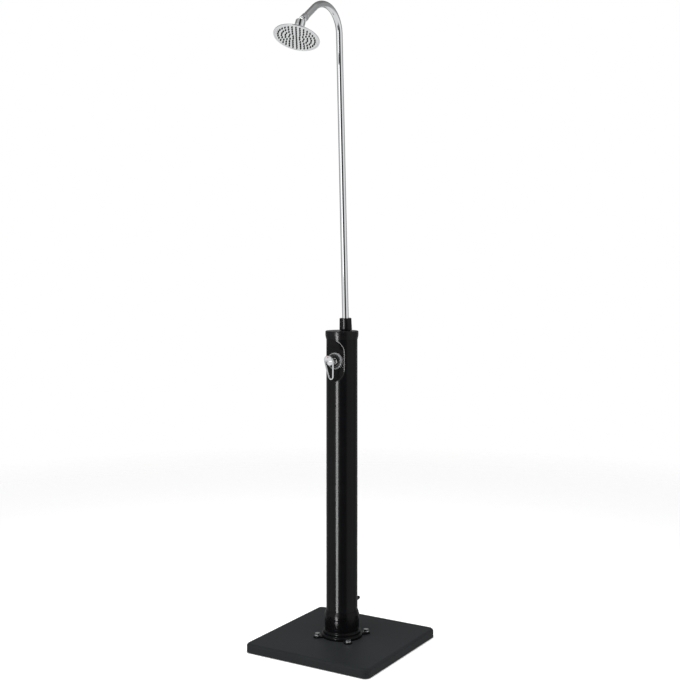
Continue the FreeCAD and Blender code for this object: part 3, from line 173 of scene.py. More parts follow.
def makeFinish(name, look):
    material = bpy.data.materials.new(name)
    material.use_nodes = True
    tree = material.node_tree
    shader = tree.nodes["Principled BSDF"]
    shader.inputs["Metallic"].default_value = look.get("metallic", 0)
    shader.inputs["IOR"].default_value = 1.5
    shader.inputs["Specular IOR Level"].default_value = look.get("specular", 0.5)
    mottle = placeGroup(tree, mottleGroup, Scale=look["cloudScale"], Contrast=1.6)
    wearAndHighlight = placeGroup(tree, wearAndHighlightGroup, Low=look.get("wearLow", 0.52), High=look.get("wearHigh", 0.62),
                      Scale=look.get("edgeNoiseScale", 90))
    grain = placeGroup(tree, grainGroup, Scale=look["grainScale"], Stretch=look.get("stretch", 1),
                       Pebble=look.get("pebble", 0.3))
    surface = blendColours(tree, mottle.outputs["Value"], look["dark"], look["light"])
    # sharp edges take the worn colour; on the tap rose that colour is a light grey painted highlight along
    # its rims
    colour = blendColours(tree, wearAndHighlight.outputs["Mask"], surface, look["wornAndHighlightColour"])
    tree.links.new(colour, shader.inputs["Base Color"])
    polish = tree.nodes.new("ShaderNodeMapRange")
    tree.links.new(mottle.outputs["Value"], polish.inputs["Value"])
    polish.inputs["To Min"].default_value = look["smooth"]
    polish.inputs["To Max"].default_value = look["rough"]
    tree.links.new(polish.outputs["Result"], shader.inputs["Roughness"])
    bump = tree.nodes.new("ShaderNodeBump")
    bump.inputs["Strength"].default_value = look.get("bump", 0.2)
    bump.inputs["Distance"].default_value = look.get("bumpDepth", 0.0001)
    tree.links.new(grain.outputs["Height"], bump.inputs["Height"])
    tree.links.new(bump.outputs["Normal"], shader.inputs["Normal"])
    return material


finishes = {
    "glossBlack": {
        "dark": (0.0035, 0.0036, 0.0041), "light": (0.0065, 0.0067, 0.0075), "wornAndHighlightColour": (0.02, 0.021, 0.023),
        "smooth": 0.15, "rough": 0.22, "specular": 0.11, "cloudScale": 9, "grainScale": 700,
        "bump": 0.05, "bumpDepth": 0.00003,
    },
    # tap rose: black, with its rims painted light grey as a highlight
    "paintedRimHighlightBlack": {
        "dark": (0.004, 0.004, 0.0045), "light": (0.007, 0.007, 0.008), "wornAndHighlightColour": (0.55, 0.56, 0.57),
        "smooth": 0.12, "rough": 0.2, "specular": 0.3, "cloudScale": 30, "grainScale": 1400,
        "wearLow": 0.5, "wearHigh": 0.53, "edgeNoiseScale": 500, "bump": 0.05, "bumpDepth": 0.00003,
    },
    "satinBlack": {
        "dark": (0.004, 0.004, 0.0045), "light": (0.008, 0.008, 0.009), "wornAndHighlightColour": (0.03, 0.031, 0.033),
        "smooth": 0.2, "rough": 0.28, "specular": 0.16, "cloudScale": 30, "grainScale": 1400,
        "bump": 0.1, "bumpDepth": 0.00003,
    },
    "baseGrey": {
        "dark": (0.0145, 0.0164, 0.0174), "light": (0.0208, 0.0233, 0.0246), "wornAndHighlightColour": (0.034, 0.036, 0.038),
        "smooth": 0.48, "rough": 0.6, "specular": 0.18, "cloudScale": 7, "grainScale": 650, "pebble": 0.7,
        "bump": 0.35, "bumpDepth": 0.00018,
    },
    "matteBlack": {
        "dark": (0.012, 0.012, 0.0125), "light": (0.022, 0.022, 0.023), "wornAndHighlightColour": (0.05, 0.05, 0.05),
        "smooth": 0.5, "rough": 0.65, "specular": 0.35, "cloudScale": 25, "grainScale": 900,
        "bump": 0.3, "bumpDepth": 0.0001,
    },
    "chrome": {
        "dark": (0.76, 0.77, 0.785), "light": (0.84, 0.85, 0.86), "wornAndHighlightColour": (0.9, 0.9, 0.91),
        "smooth": 0.04, "rough": 0.09, "metallic": 1, "cloudScale": 14, "grainScale": 1600, "pebble": 0.1,
        "bump": 0.02, "bumpDepth": 0.00001, "wearLow": 0.53,
    },
    "satinChrome": {
        "dark": (0.8, 0.81, 0.82), "light": (0.87, 0.88, 0.88), "wornAndHighlightColour": (0.92, 0.92, 0.92),
        "smooth": 0.06, "rough": 0.12, "metallic": 1, "cloudScale": 40, "grainScale": 1800,
        "bump": 0.05, "bumpDepth": 0.00001,
    },
    "brightSteel": {
        "dark": (0.55, 0.56, 0.57), "light": (0.7, 0.7, 0.71), "wornAndHighlightColour": (0.85, 0.85, 0.86),
        "smooth": 0.16, "rough": 0.3, "metallic": 1, "cloudScale": 160, "grainScale": 1500, "stretch": 0.2,
        "bump": 0.12, "bumpDepth": 0.00005,
    },
    "zincSteel": {
        "dark": (0.38, 0.39, 0.41), "light": (0.56, 0.57, 0.58), "wornAndHighlightColour": (0.7, 0.7, 0.72),
        "smooth": 0.3, "rough": 0.45, "metallic": 1, "cloudScale": 120, "grainScale": 900,
        "bump": 0.2, "bumpDepth": 0.00006,
    },
    "softRubber": {
        "dark": (0.011, 0.011, 0.011), "light": (0.024, 0.024, 0.024), "wornAndHighlightColour": (0.06, 0.06, 0.058),
        "smooth": 0.6, "rough": 0.8, "specular": 0.3, "cloudScale": 60, "grainScale": 1100, "pebble": 0.6,
        "bump": 0.4, "bumpDepth": 0.0001,
    },
    "nozzleRubber": {
        "dark": (0.012, 0.0125, 0.0135), "light": (0.026, 0.027, 0.029), "wornAndHighlightColour": (0.07, 0.07, 0.07),
        "smooth": 0.3, "rough": 0.42, "specular": 0.4, "cloudScale": 90, "grainScale": 1500,
        "bump": 0.2, "bumpDepth": 0.00005,
    },
    "turnedBrass": {
        "dark": (0.55, 0.38, 0.16), "light": (0.75, 0.56, 0.27), "wornAndHighlightColour": (0.85, 0.7, 0.42),
        "smooth": 0.2, "rough": 0.36, "metallic": 1, "cloudScale": 90, "grainScale": 1300, "stretch": 0.3,
        "bump": 0.15, "bumpDepth": 0.00004,
    },
    "milkyPlastic": {
        "dark": (0.62, 0.62, 0.6), "light": (0.78, 0.78, 0.76), "wornAndHighlightColour": (0.85, 0.85, 0.83),
        "smooth": 0.36, "rough": 0.5, "cloudScale": 60, "grainScale": 900,
        "bump": 0.1, "bumpDepth": 0.00005,
    },
    "lappedCeramic": {
        "dark": (0.7, 0.68, 0.63), "light": (0.84, 0.83, 0.79), "wornAndHighlightColour": (0.9, 0.89, 0.86),
        "smooth": 0.12, "rough": 0.2, "cloudScale": 200, "grainScale": 2000,
        "bump": 0.05, "bumpDepth": 0.00002,
    },
    "castStone": {
        "dark": (0.28, 0.27, 0.25), "light": (0.45, 0.44, 0.41), "wornAndHighlightColour": (0.55, 0.54, 0.5),
        "smooth": 0.8, "rough": 0.95, "specular": 0.3, "cloudScale": 30, "grainScale": 260, "pebble": 0.6,
        "bump": 0.8, "bumpDepth": 0.0006,
    },
    "indexRed": {
        "dark": (0.35, 0.012, 0.012), "light": (0.5, 0.02, 0.02), "wornAndHighlightColour": (0.6, 0.1, 0.1),
        "smooth": 0.15, "rough": 0.25, "cloudScale": 300, "grainScale": 2000,
        "bump": 0.05, "bumpDepth": 0.00002,
    },
}
materials = {name: makeFinish(name, look) for name, look in finishes.items()}
print("finishes made:", len(materials))

slotFinishes = {
    "gloss_black": "glossBlack", "base_grey": "baseGrey", "base_tray": "matteBlack", "ballast": "castStone",
    "zinc_steel": "zincSteel", "bolt_steel": "brightSteel", "rubber": "softRubber",
    "nozzle_rubber": "nozzleRubber", "chrome": "chrome", "head_face": "satinChrome", "brass": "turnedBrass",
    "hose_black": "satinBlack", "water_tube": "milkyPlastic", "cartridge": "milkyPlastic",
    "ceramic": "lappedCeramic", "index": "indexRed",
}
nodeFinishes = {"lever_spindle": "brightSteel", "pivot_pin": "brightSteel", "mixer_locknut": "zincSteel"}
nodeSlots = {entry["node"]: entry["material_slot"] for entry in frame["record"]["subparts"]}
for name, node in nodes.items():
    for slot in node.material_slots:
        slot.material = materials[nodeFinishes.get(name, slotFinishes[nodeSlots[name]])]


# ---------- modelling helpers ----------

near = 1e-6  # heights closer than this are the same
weld = 0.000002


def deselectAll():
    if bpy.context.object and bpy.context.object.mode != "OBJECT":
        bpy.ops.object.mode_set(mode="OBJECT")
    bpy.ops.object.select_all(action="DESELECT")


def takeUp(piece):
    deselectAll()
    piece.select_set(True)
    bpy.context.view_layer.objects.active = piece


def editing(piece):
    takeUp(piece)
    bpy.ops.object.mode_set(mode="EDIT")
    bpy.ops.mesh.select_mode(type="VERT")
    bpy.ops.mesh.select_all(action="DESELECT")


def pick(piece, kind, test):
    bpy.ops.mesh.select_mode(type=kind)
    mesh = bmesh.from_edit_mesh(piece.data)
    parts = {"VERT": mesh.verts, "EDGE": mesh.edges, "FACE": mesh.faces}[kind]
    for part in parts:
        part.select_set(False)
    chosen = [part for part in parts if test(part)]
    for part in chosen:
        part.select_set(True)
    mesh.select_flush_mode()
    bmesh.update_edit_mesh(piece.data)


def climb(edge):
    return abs(edge.verts[0].co.z - edge.verts[1].co.z)


def atHeight(part, height):
    return all(abs(vertex.co.z - height) < near for vertex in part.verts)


def pushOut(offset):
    bpy.ops.mesh.extrude_region_move(TRANSFORM_OT_translate={"value": offset})


def weldAll():
    bpy.ops.mesh.select_all(action="SELECT")
    bpy.ops.mesh.remove_doubles(threshold=weld)
    bpy.ops.mesh.normals_make_consistent(inside=False)
    bpy.ops.object.mode_set(mode="OBJECT")


def named(name):
    piece = bpy.context.object
    piece.name = name
    piece.data.name = name
    return piece


def roundedOutline(points, steps=5):
    corners = []
    count = len(points)
    for index, point in enumerate(points):
        here = Vector(point[:2])
        if len(point) == 2:
            corners.append(here)
            continue
        before = (Vector(points[index - 1][:2]) - here).normalized()
        after = (Vector(points[(index + 1) % count][:2]) - here).normalized()
        half = before.angle(after) / 2
        reach = point[2] / math.tan(half)
        centre = here + (before + after).normalized() * point[2] / math.sin(half)
        first = here + before * reach - centre
        sweep = (here + after * reach - centre).angle_signed(first)
        for step in range(steps + 1):
            turn = Matrix.Rotation(sweep * step / steps, 2)
            corners.append(centre + turn @ first)
    return corners


def drawOutline(points, closed):
    bpy.ops.mesh.primitive_plane_add(size=0.001, location=(points[0].x, 0, points[0].y), enter_editmode=True)
    bpy.ops.mesh.select_mode(type="VERT")
    bpy.ops.mesh.merge(type="CENTER")
    ring = list(points) + [points[0]] * closed
    for here, there in zip(ring, ring[1:]):
        step = there - here
        bpy.ops.mesh.extrude_vertices_move(TRANSFORM_OT_translate={"value": (step.x, 0, step.y)})


def spunPiece(name, outline, steps=96, cornerSteps=5, closed=True):
    deselectAll()
    drawOutline(roundedOutline(outline, cornerSteps), closed)
    bpy.ops.mesh.select_all(action="SELECT")
    bpy.ops.mesh.spin(steps=steps, angle=math.tau, center=(0, 0, 0), axis=(0, 0, 1))
    weldAll()
    return named(name)


def settle(piece, place=None):
    takeUp(piece)
    if place is not None:
        piece.matrix_world = place @ piece.matrix_world
    bpy.ops.object.transform_apply(location=True, rotation=True, scale=True)


def addModifier(piece, kind, **values):
    takeUp(piece)
    modifier = piece.modifiers.new(kind.lower(), kind)
    for label, value in values.items():
        setattr(modifier, label, value)
    bpy.ops.object.modifier_apply(modifier=modifier.name)


def combine(piece, tool, operation):
    addModifier(piece, "BOOLEAN", object=tool, operation=operation, solver="EXACT")
    bpy.data.objects.remove(tool)


def drillHole(piece, radius, depth, place, sides):
    deselectAll()
    bpy.ops.mesh.primitive_cylinder_add(vertices=sides, radius=radius, depth=depth)
    drill = named("drill")
    settle(drill, place)
    combine(piece, drill, "DIFFERENCE")


def joinPieces(pieces, name):
    deselectAll()
    for piece in pieces:
        piece.select_set(True)
    bpy.context.view_layer.objects.active = pieces[0]
    bpy.ops.object.join()
    return named(name)


def finishPiece(piece, finish, replaced, body, angle=35, weighted=True):
    takeUp(piece)
    bpy.ops.object.shade_smooth_by_angle(angle=math.radians(angle))
    if weighted:
        addModifier(piece, "WEIGHTED_NORMAL", keep_sharp=True, weight=60)
    piece.data.materials.clear()
    piece.data.materials.append(materials[finish])
    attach(piece, body)
    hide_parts(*replaced)
    print(piece.name, len(piece.data.polygons), "faces")


# ---------- studio: camera, world, lamps and floor ----------

studio = {
    "cameraTurn": 31.23,
    "cameraDistance": 3.7123,
    "cameraHeight": 1.2851,
    "focalPixels": 1103.1,
    "frameWidth": 680,
    "axisPixel": 341.92,
    "horizonPixel": 262.55,
}


def studioSpot(angle, distance, height):
    bearing = math.radians(studio["cameraTurn"] + angle)
    return Vector((distance * math.sin(bearing), -distance * math.cos(bearing), height))


cameraData = bpy.data.cameras.new("camera")
cameraData.sensor_width = 36
cameraData.lens = studio["focalPixels"] / studio["frameWidth"] * 36
cameraData.shift_x = (studio["frameWidth"] / 2 - studio["axisPixel"]) / studio["frameWidth"]
cameraData.shift_y = (studio["horizonPixel"] - studio["frameWidth"] / 2) / studio["frameWidth"]
camera = bpy.data.objects.new("camera", cameraData)
camera.location = studioSpot(0, studio["cameraDistance"], studio["cameraHeight"])
camera.rotation_euler = (math.radians(90), 0, math.radians(studio["cameraTurn"]))
bpy.context.scene.collection.objects.link(camera)
bpy.context.scene.camera = camera
bpy.context.scene.view_settings.view_transform = "Standard"

# lamps that show are seen in reflections only, and the others light matt surfaces only
lamps = {
    "lowStrip": {
        "angle": -36, "distance": 3.2, "height": -0.25, "size": (0.8, 2.4), "power": 235, "shows": True,
    },
    "highStrip": {
        "angle": -36, "distance": 3.2, "height": 2.05, "size": (1.0, 2.2), "power": 9, "shows": True,
    },
    "wideFill": {
        "angle": -62, "distance": 3.4, "height": 1.2, "size": (1.5, 4.0), "power": 14, "shows": False,
    },
    "topSoft": {
        "angle": -20, "distance": 0.8, "height": 3.6, "size": (2.2, 2.2), "power": 128, "shows": False,
    },
}
highestAim = 2.1
for name, lamp in lamps.items():
    data = bpy.data.lights.new(name, "AREA")
    data.shape = "RECTANGLE"
    data.size, data.size_y = lamp["size"]
    data.energy = lamp["power"]
    light = bpy.data.objects.new(name, data)
    light.location = studioSpot(lamp["angle"], lamp["distance"], lamp["height"])
    aim = Vector((0, 0, min(lamp["height"], highestAim))) - light.location
    light.rotation_euler = aim.to_track_quat("-Z", "Y").to_euler()
    light.visible_camera = False
    light.visible_glossy = lamp["shows"]
    light.visible_diffuse = not lamp["shows"]
    bpy.context.scene.collection.objects.link(light)

surround = {
    "light": 0.34,
    "side": 0.85, "front": 0.04, "back": 0.3, "ceiling": 0.62, "ground": 0.78,
    "frontAngle": 8, "frontFrom": 0.82, "frontTo": 0.95,
    "backFrom": -0.2, "backTo": 0.4,
    "ceilingFrom": 0.36, "ceilingTo": 0.6,
    "groundFrom": 0.35, "groundTo": 0.65,
}
world = bpy.data.worlds.new("studio")
bpy.context.scene.world = world
world.use_nodes = True
tree = world.node_tree
backdrop = tree.nodes["Background"]
path = tree.nodes.new("ShaderNodeLightPath")
direction = tree.nodes.new("ShaderNodeTexCoord")


def fadeBetween(name, value, towards):
    node = tree.nodes.new("ShaderNodeMapRange")
    node.interpolation_type = "SMOOTHSTEP"
    tree.links.new(value, node.inputs["Value"])
    node.inputs["From Min"].default_value = surround[name + "From"]
    node.inputs["From Max"].default_value = surround[name + "To"]
    node.inputs["To Min"].default_value = 1
    node.inputs["To Max"].default_value = towards
    return node.outputs["Result"]


def dotWith(spot, towards=direction.outputs["Generated"]):
    node = tree.nodes.new("ShaderNodeVectorMath")
    node.operation = "DOT_PRODUCT"
    node.inputs[1].default_value = spot
    tree.links.new(towards, node.inputs[0])
    return node.outputs["Value"]


flattened = tree.nodes.new("ShaderNodeVectorMath")
flattened.operation = "MULTIPLY"
flattened.inputs[1].default_value = (1, 1, 0)
tree.links.new(direction.outputs["Generated"], flattened.inputs[0])
compass = tree.nodes.new("ShaderNodeVectorMath")
compass.operation = "NORMALIZE"
tree.links.new(flattened.outputs["Vector"], compass.inputs[0])

# what shiny surfaces see: white sides, an unlit room behind the camera, a dimmer backdrop and ceiling
ahead = dotWith(studioSpot(surround["frontAngle"], 1, 0), compass.outputs["Vector"])
front = fadeBetween("front", ahead, surround["front"] / surround["side"])
back = fadeBetween("back", dotWith(-studioSpot(0, 1, 0)), surround["back"] / surround["side"])
ceiling = fadeBetween("ceiling", dotWith(Vector((0, 0, 1))), surround["ceiling"])
ground = fadeBetween("ground", dotWith(Vector((0, 0, -1))), 0)
shade = mathNode(tree, "MULTIPLY", mathNode(tree, "MULTIPLY", front, back), ceiling)


def mixValues(tree, factor, first, second):
    node = tree.nodes.new("ShaderNodeMix")
    tree.links.new(factor, node.inputs["Factor"])
    for socket, value in ((node.inputs["A"], first), (node.inputs["B"], second)):
        if isinstance(value, (int, float)):
            socket.default_value = value
        else:
            tree.links.new(value, socket)
    return node.outputs["Result"]


shine = mixValues(tree, ground, surround["ground"], mathNode(tree, "MULTIPLY", shade, surround["side"]))
shiny = mathNode(tree, "MAXIMUM", path.outputs["Is Glossy Ray"], path.outputs["Is Transmission Ray"])
strength = mixValues(tree, shiny, surround["light"], shine)
tree.links.new(mixValues(tree, path.outputs["Is Camera Ray"], strength, 1.0), backdrop.inputs["Strength"])
backdrop.inputs["Color"].default_value = (1, 1, 1, 1)

floorLook = {
    "radius": 6.0, "colour": (0.93, 0.93, 0.93), "rough": 0.9, "specular": 0.1, "drop": 0.0002,
    "fadeFrom": 1.4, "fadeTo": 4.0, "lift": 0.3,
}
deselectAll()
bpy.ops.mesh.primitive_circle_add(vertices=96, radius=floorLook["radius"], fill_type="NGON")
floor = named("floor")
floorMaterial = bpy.data.materials.new("floor")
floorMaterial.use_nodes = True
tree = floorMaterial.node_tree
shader = tree.nodes["Principled BSDF"]
shader.inputs["Base Color"].default_value = (*floorLook["colour"], 1)
shader.inputs["Roughness"].default_value = floorLook["rough"]
shader.inputs["Specular IOR Level"].default_value = floorLook["specular"]
where = tree.nodes.new("ShaderNodeTexCoord")
reach = tree.nodes.new("ShaderNodeVectorMath")
reach.operation = "LENGTH"
tree.links.new(where.outputs["Object"], reach.inputs[0])
fade = tree.nodes.new("ShaderNodeMapRange")
tree.links.new(reach.outputs["Value"], fade.inputs["Value"])
fade.inputs["From Min"].default_value = floorLook["fadeFrom"]
fade.inputs["From Max"].default_value = floorLook["fadeTo"]
fade.inputs["To Min"].default_value = 1
fade.inputs["To Max"].default_value = 0
path = tree.nodes.new("ShaderNodeLightPath")
direct = mathNode(tree, "SUBTRACT", 1, path.outputs["Is Glossy Ray"])  # reflections look past the floor
tree.links.new(mathNode(tree, "MULTIPLY", fade.outputs["Result"], direct), shader.inputs["Alpha"])
shader.inputs["Emission Strength"].default_value = floorLook["lift"]
tree.links.new(path.outputs["Is Camera Ray"], shader.inputs["Emission Color"])
floor.data.materials.append(floorMaterial)
floor.location.z = -floorLook["drop"]
settle(floor)
print("studio set")


# ---------- base ----------

baseShell = {
    "width": 0.468, "low": 0.001, "top": 0.0313, "corner": 0.021, "topEdge": 0.009, "lowEdge": 0.0025,
    "wall": 0.004, "roof": 0.0273, "topBorder": 0.004,
}
deselectAll()
height = baseShell["top"] - baseShell["low"]
bpy.ops.mesh.primitive_cube_add(size=1, location=(0, 0, baseShell["low"] + height / 2),
                                scale=(baseShell["width"], baseShell["width"], height))
piece = named("baseShell")
settle(piece)
editing(piece)
pick(piece, "EDGE", lambda edge: climb(edge) > height / 2)
bpy.ops.mesh.bevel(offset=baseShell["corner"], segments=14, affect="EDGES")
pick(piece, "EDGE", lambda edge: atHeight(edge, baseShell["top"]))
bpy.ops.mesh.bevel(offset=baseShell["topEdge"], segments=10, affect="EDGES")
pick(piece, "EDGE", lambda edge: atHeight(edge, baseShell["low"]))
bpy.ops.mesh.bevel(offset=baseShell["lowEdge"], segments=4, affect="EDGES")
pick(piece, "FACE", lambda face: atHeight(face, baseShell["low"]))
bpy.ops.mesh.inset(thickness=baseShell["wall"] - baseShell["lowEdge"])
pushOut((0, 0, baseShell["roof"] - baseShell["low"]))
pick(piece, "FACE", lambda face: atHeight(face, baseShell["top"]))
bpy.ops.mesh.inset(thickness=baseShell["topBorder"])
bpy.ops.object.mode_set(mode="OBJECT")
finishPiece(piece, "baseGrey", ["base_shell"], "tank")


# ---------- foot ----------

foot = {
    "outline": [
        (0.040, 0.0313), (0.069, 0.0313, 0.0008), (0.069, 0.042, 0.0035), (0.063, 0.042, 0.0018),
        (0.063, 0.053, 0.0035), (0.058, 0.053, 0.0018), (0.058, 0.0938, 0.0003), (0.0571, 0.095, 0.0004),
        (0.058, 0.0962, 0.0003), (0.058, 0.107, 0.004), (0.0537, 0.120, 0.0005), (0.0526, 0.120),
        (0.0526, 0.044), (0.040, 0.044),
    ],
    "boltCircle": 0.084, "bearings": (45, 135, 225, 315),
    "earRadius": 0.014, "earTop": 0.037, "earEdge": 0.002, "earReach": 0.026, "base": 0.0313,
}
piece = spunPiece("footFlange", foot["outline"], steps=128)
ears = []
for bearing in foot["bearings"]:
    deselectAll()
    depth = foot["earTop"] - foot["base"]
    bpy.ops.mesh.primitive_cylinder_add(vertices=48, radius=foot["earRadius"], depth=depth,
                                        location=(foot["boltCircle"], 0, foot["base"] + depth / 2))
    ear = named(f"ear{bearing}")
    settle(ear)
    editing(ear)
    pick(ear, "VERT", lambda vertex: vertex.co.x < foot["boltCircle"] + 1e-5)
    bpy.ops.transform.translate(value=(-foot["earReach"], 0, 0))
    pick(ear, "EDGE", lambda edge: atHeight(edge, foot["earTop"]))
    bpy.ops.mesh.bevel(offset=foot["earEdge"], segments=5, affect="EDGES")
    bpy.ops.object.mode_set(mode="OBJECT")
    settle(ear, Matrix.Rotation(math.radians(bearing), 4, "Z"))
    ears.append(ear)
combine(piece, joinPieces(ears, "ears"), "UNION")
finishPiece(piece, "glossBlack", ["foot_flange"], "tank", angle=40)

bolt = {
    "flats": 0.016, "seat": 0.0388, "height": 0.007, "shank": 0.005, "end": 0.0138, "shankEdge": 0.0005,
    "turn": 11, "overlap": 0.001, "chamferRadius": 0.0105, "faceRadius": 0.0074, "chamferDrop": 0.0016,
    "faceDrop": 0.0001,
}
washer = {"inner": 0.0051, "outer": 0.010, "low": 0.037, "top": 0.0388, "edge": 0.0005}
bolts = []
washers = []
for bearing in foot["bearings"]:
    spot = Matrix.Rotation(math.radians(bearing), 4, "Z") @ Matrix.Translation((foot["boltCircle"], 0, 0))
    deselectAll()
    top = bolt["seat"] + bolt["height"]
    bpy.ops.mesh.primitive_cylinder_add(vertices=6, radius=bolt["flats"] / 2 / math.cos(math.pi / 6),
                                        depth=bolt["height"], location=(0, 0, top - bolt["height"] / 2))
    head = named("boltHead")
    settle(head)
    below = bolt["seat"] - bolt["overlap"]
    chamfer = spunPiece("chamfer", [
        (0, below), (bolt["chamferRadius"], below), (bolt["chamferRadius"], top - bolt["chamferDrop"]),
        (bolt["faceRadius"], top - bolt["faceDrop"], 0.001), (0, top),
    ], steps=48, closed=False)
    combine(head, chamfer, "INTERSECT")
    above = bolt["seat"] + bolt["overlap"]
    shank = spunPiece("shank", [
        (0, bolt["end"]), (bolt["shank"], bolt["end"], bolt["shankEdge"]), (bolt["shank"], above), (0, above),
    ], steps=32, closed=False)
    whole = joinPieces([head, shank], "bolt")
    settle(whole, spot @ Matrix.Rotation(math.radians(bolt["turn"] + bearing), 4, "Z"))
    bolts.append(whole)
    ring = spunPiece("washer", [
        (washer["inner"], washer["low"]), (washer["outer"], washer["low"], washer["edge"]),
        (washer["outer"], washer["top"], washer["edge"]), (washer["inner"], washer["top"], washer["edge"]),
    ], steps=64, cornerSteps=3)
    settle(ring, spot)
    washers.append(ring)
finishPiece(joinPieces(bolts, "flangeBolts"), "brightSteel", ["flange_bolts"], "tank", angle=30)
finishPiece(joinPieces(washers, "flangeWashers"), "brightSteel", ["flange_washers"], "tank")


# ---------- tank tube with its dished front ----------

tank = {
    "radius": 0.0525, "wall": 0.0035, "low": 0.044, "top": 1.050, "columns": 240,
    "dishLow": 0.878, "dishTop": 1.036, "dishRows": 104, "floor": 0.0395, "flat": 0.056, "bend": 0.056,
    "rim": 0.0042, "valveHole": 0.0156, "inletHole": 0.0081, "drillDepth": 0.05, "drillCentre": 0.045,
    "bands": (0.2, 0.4, 0.6, 0.8), "facing": 0.3,
}


def dishDistance(z):
    rise = max(abs(z - postPlaces["valveHeight"]) - tank["flat"] / 2, 0)
    if rise >= tank["bend"]:
        return 1.0
    return tank["floor"] + tank["bend"] - math.sqrt(tank["bend"] ** 2 - rise ** 2)


deselectAll()
bpy.ops.mesh.primitive_cylinder_add(vertices=tank["columns"], radius=tank["radius"],
                                    depth=tank["top"] - tank["low"], end_fill_type="NOTHING",
                                    location=(0, 0, (tank["top"] + tank["low"]) / 2))
piece = named("tankTube")
settle(piece)
editing(piece)
for level in (*tank["bands"], tank["dishLow"], tank["dishTop"]):
    bpy.ops.mesh.select_all(action="SELECT")
    bpy.ops.mesh.bisect(plane_co=(0, 0, level), plane_no=(0, 0, 1))
middle = (tank["dishLow"] + tank["dishTop"]) / 2
pick(piece, "EDGE", lambda edge: climb(edge) > 0.1
     and abs((edge.verts[0].co.z + edge.verts[1].co.z) / 2 - middle) < 0.01)
bpy.ops.mesh.subdivide(number_cuts=tank["dishRows"])
bpy.ops.object.mode_set(mode="OBJECT")
for vertex in piece.data.vertices:
    spot = vertex.co
    forward = -spot.y / tank["radius"]
    if tank["dishLow"] < spot.z < tank["dishTop"] and forward > tank["facing"]:
        wanted = dishDistance(spot.z) / forward
        gap = max(tank["rim"] - abs(wanted - tank["radius"]), 0) / tank["rim"]
        radius = min(wanted, tank["radius"]) - gap * gap * tank["rim"] / 4
        spot.x *= radius / tank["radius"]
        spot.y *= radius / tank["radius"]
addModifier(piece, "SOLIDIFY", thickness=tank["wall"], offset=-1, use_even_offset=True)
for hole, place in ((tank["valveHole"], valvePlace), (tank["inletHole"], inletPlace)):
    drillHole(piece, hole, tank["drillDepth"], place @ Matrix.Translation((0, 0, tank["drillCentre"])), 64)
finishPiece(piece, "glossBlack", ["tank_tube"], "tank", angle=50, weighted=False)


# ---------- top cap and the riser's nut ----------

cap = {
    "outline": [
        (0, 1.0515), (0.0454, 1.0515), (0.0454, 1.036), (0.0489, 1.036, 0.0006), (0.0489, 1.0515),
        (0.0526, 1.0515), (0.0526, 1.0287), (0.0532, 1.0287, 0.0004), (0.05585, 1.0415, 0.003),
        (0.05585, 1.056, 0.003), (0.0535, 1.056, 0.0006), (0.0525, 1.0553, 0.0006), (0, 1.0553),
    ],
    "spigot": [(0.01106, -0.008), (0.017, -0.008), (0.017, 0.030, 0.0008), (0.01106, 0.030)],
}
piece = spunPiece("topCap", cap["outline"], steps=128, closed=False)
spigot = spunPiece("spigot", cap["spigot"], steps=64)
settle(spigot, riserPlace)
piece = joinPieces([piece, spigot], "topCap")
finishPiece(piece, "satinBlack", ["top_cap"], "tank", angle=40)

nut = {
    "low": 0.0024, "top": 0.0428, "lowRadius": 0.0212, "topRadius": 0.0203, "ribs": 24, "columnsPerRib": 6,
    "ribLow": 0.0064, "ribTop": 0.0378, "ribRadius": 0.0195, "ribFrom": 0.32, "ribTo": 0.68,
    "groove": 0.0009, "grooveInset": 0.0003,
    "hole": 0.0113, "bore": 0.0153, "thread": 0.0171, "shoulder": 0.0383, "threadTop": 0.0301,
}
piece = spunPiece("riserNut", [
    (nut["thread"], nut["low"]), (nut["lowRadius"], nut["low"], 0.001), (nut["lowRadius"], nut["ribLow"]),
    (nut["topRadius"], nut["ribTop"]), (nut["topRadius"], nut["top"], 0.0025), (nut["hole"], nut["top"]),
    (nut["hole"], nut["shoulder"]), (nut["bore"], nut["shoulder"]), (nut["bore"], nut["threadTop"]),
    (nut["thread"], nut["threadTop"]),
], steps=nut["ribs"] * nut["columnsPerRib"])
editing(piece)


def isGroove(face):
    centre = face.calc_center_median()
    if not nut["ribLow"] < centre.z < nut["ribTop"] or centre.xy.length < nut["ribRadius"]:
        return False
    column = (math.atan2(centre.y, centre.x) / math.tau * nut["ribs"]) % 1
    return nut["ribFrom"] < column < nut["ribTo"]


pick(piece, "FACE", isGroove)
bpy.ops.mesh.inset(thickness=nut["grooveInset"], depth=-nut["groove"], use_even_offset=True)
bpy.ops.object.mode_set(mode="OBJECT")
settle(piece, riserPlace)
finishPiece(piece, "satinBlack", ["riser_nut"], "tank", angle=40)
print("post done")


# ---------- riser pipe ----------

riser = {
    "radius": 0.011, "wall": 0.0012, "foot": -0.0097, "run": 0.9962, "rearBend": 0.0857, "frontBend": 0.1109,
    "split": 81.6, "arm": 0.080, "sides": 48, "bands": (0.25, 0.5, 0.75), "rearSteps": 40, "frontSteps": 24,
}
deselectAll()
bpy.ops.mesh.primitive_circle_add(vertices=riser["sides"], radius=riser["radius"],
                                  location=(0, 0, riser["foot"]))
piece = named("riserPipe")
settle(piece)
editing(piece)
bpy.ops.mesh.select_all(action="SELECT")
levels = [riser["foot"], *riser["bands"], riser["run"]]
for here, there in zip(levels, levels[1:]):
    pushOut((0, 0, there - here))
rear = Vector((0, -riser["rearBend"], riser["run"]))
split = math.radians(riser["split"])
front = rear + Vector((0, math.cos(split), math.sin(split))) * (riser["rearBend"] - riser["frontBend"])
bpy.ops.mesh.spin(steps=riser["rearSteps"], angle=split, center=rear, axis=(-1, 0, 0))
bend = math.radians(postPlaces["bendAngle"])
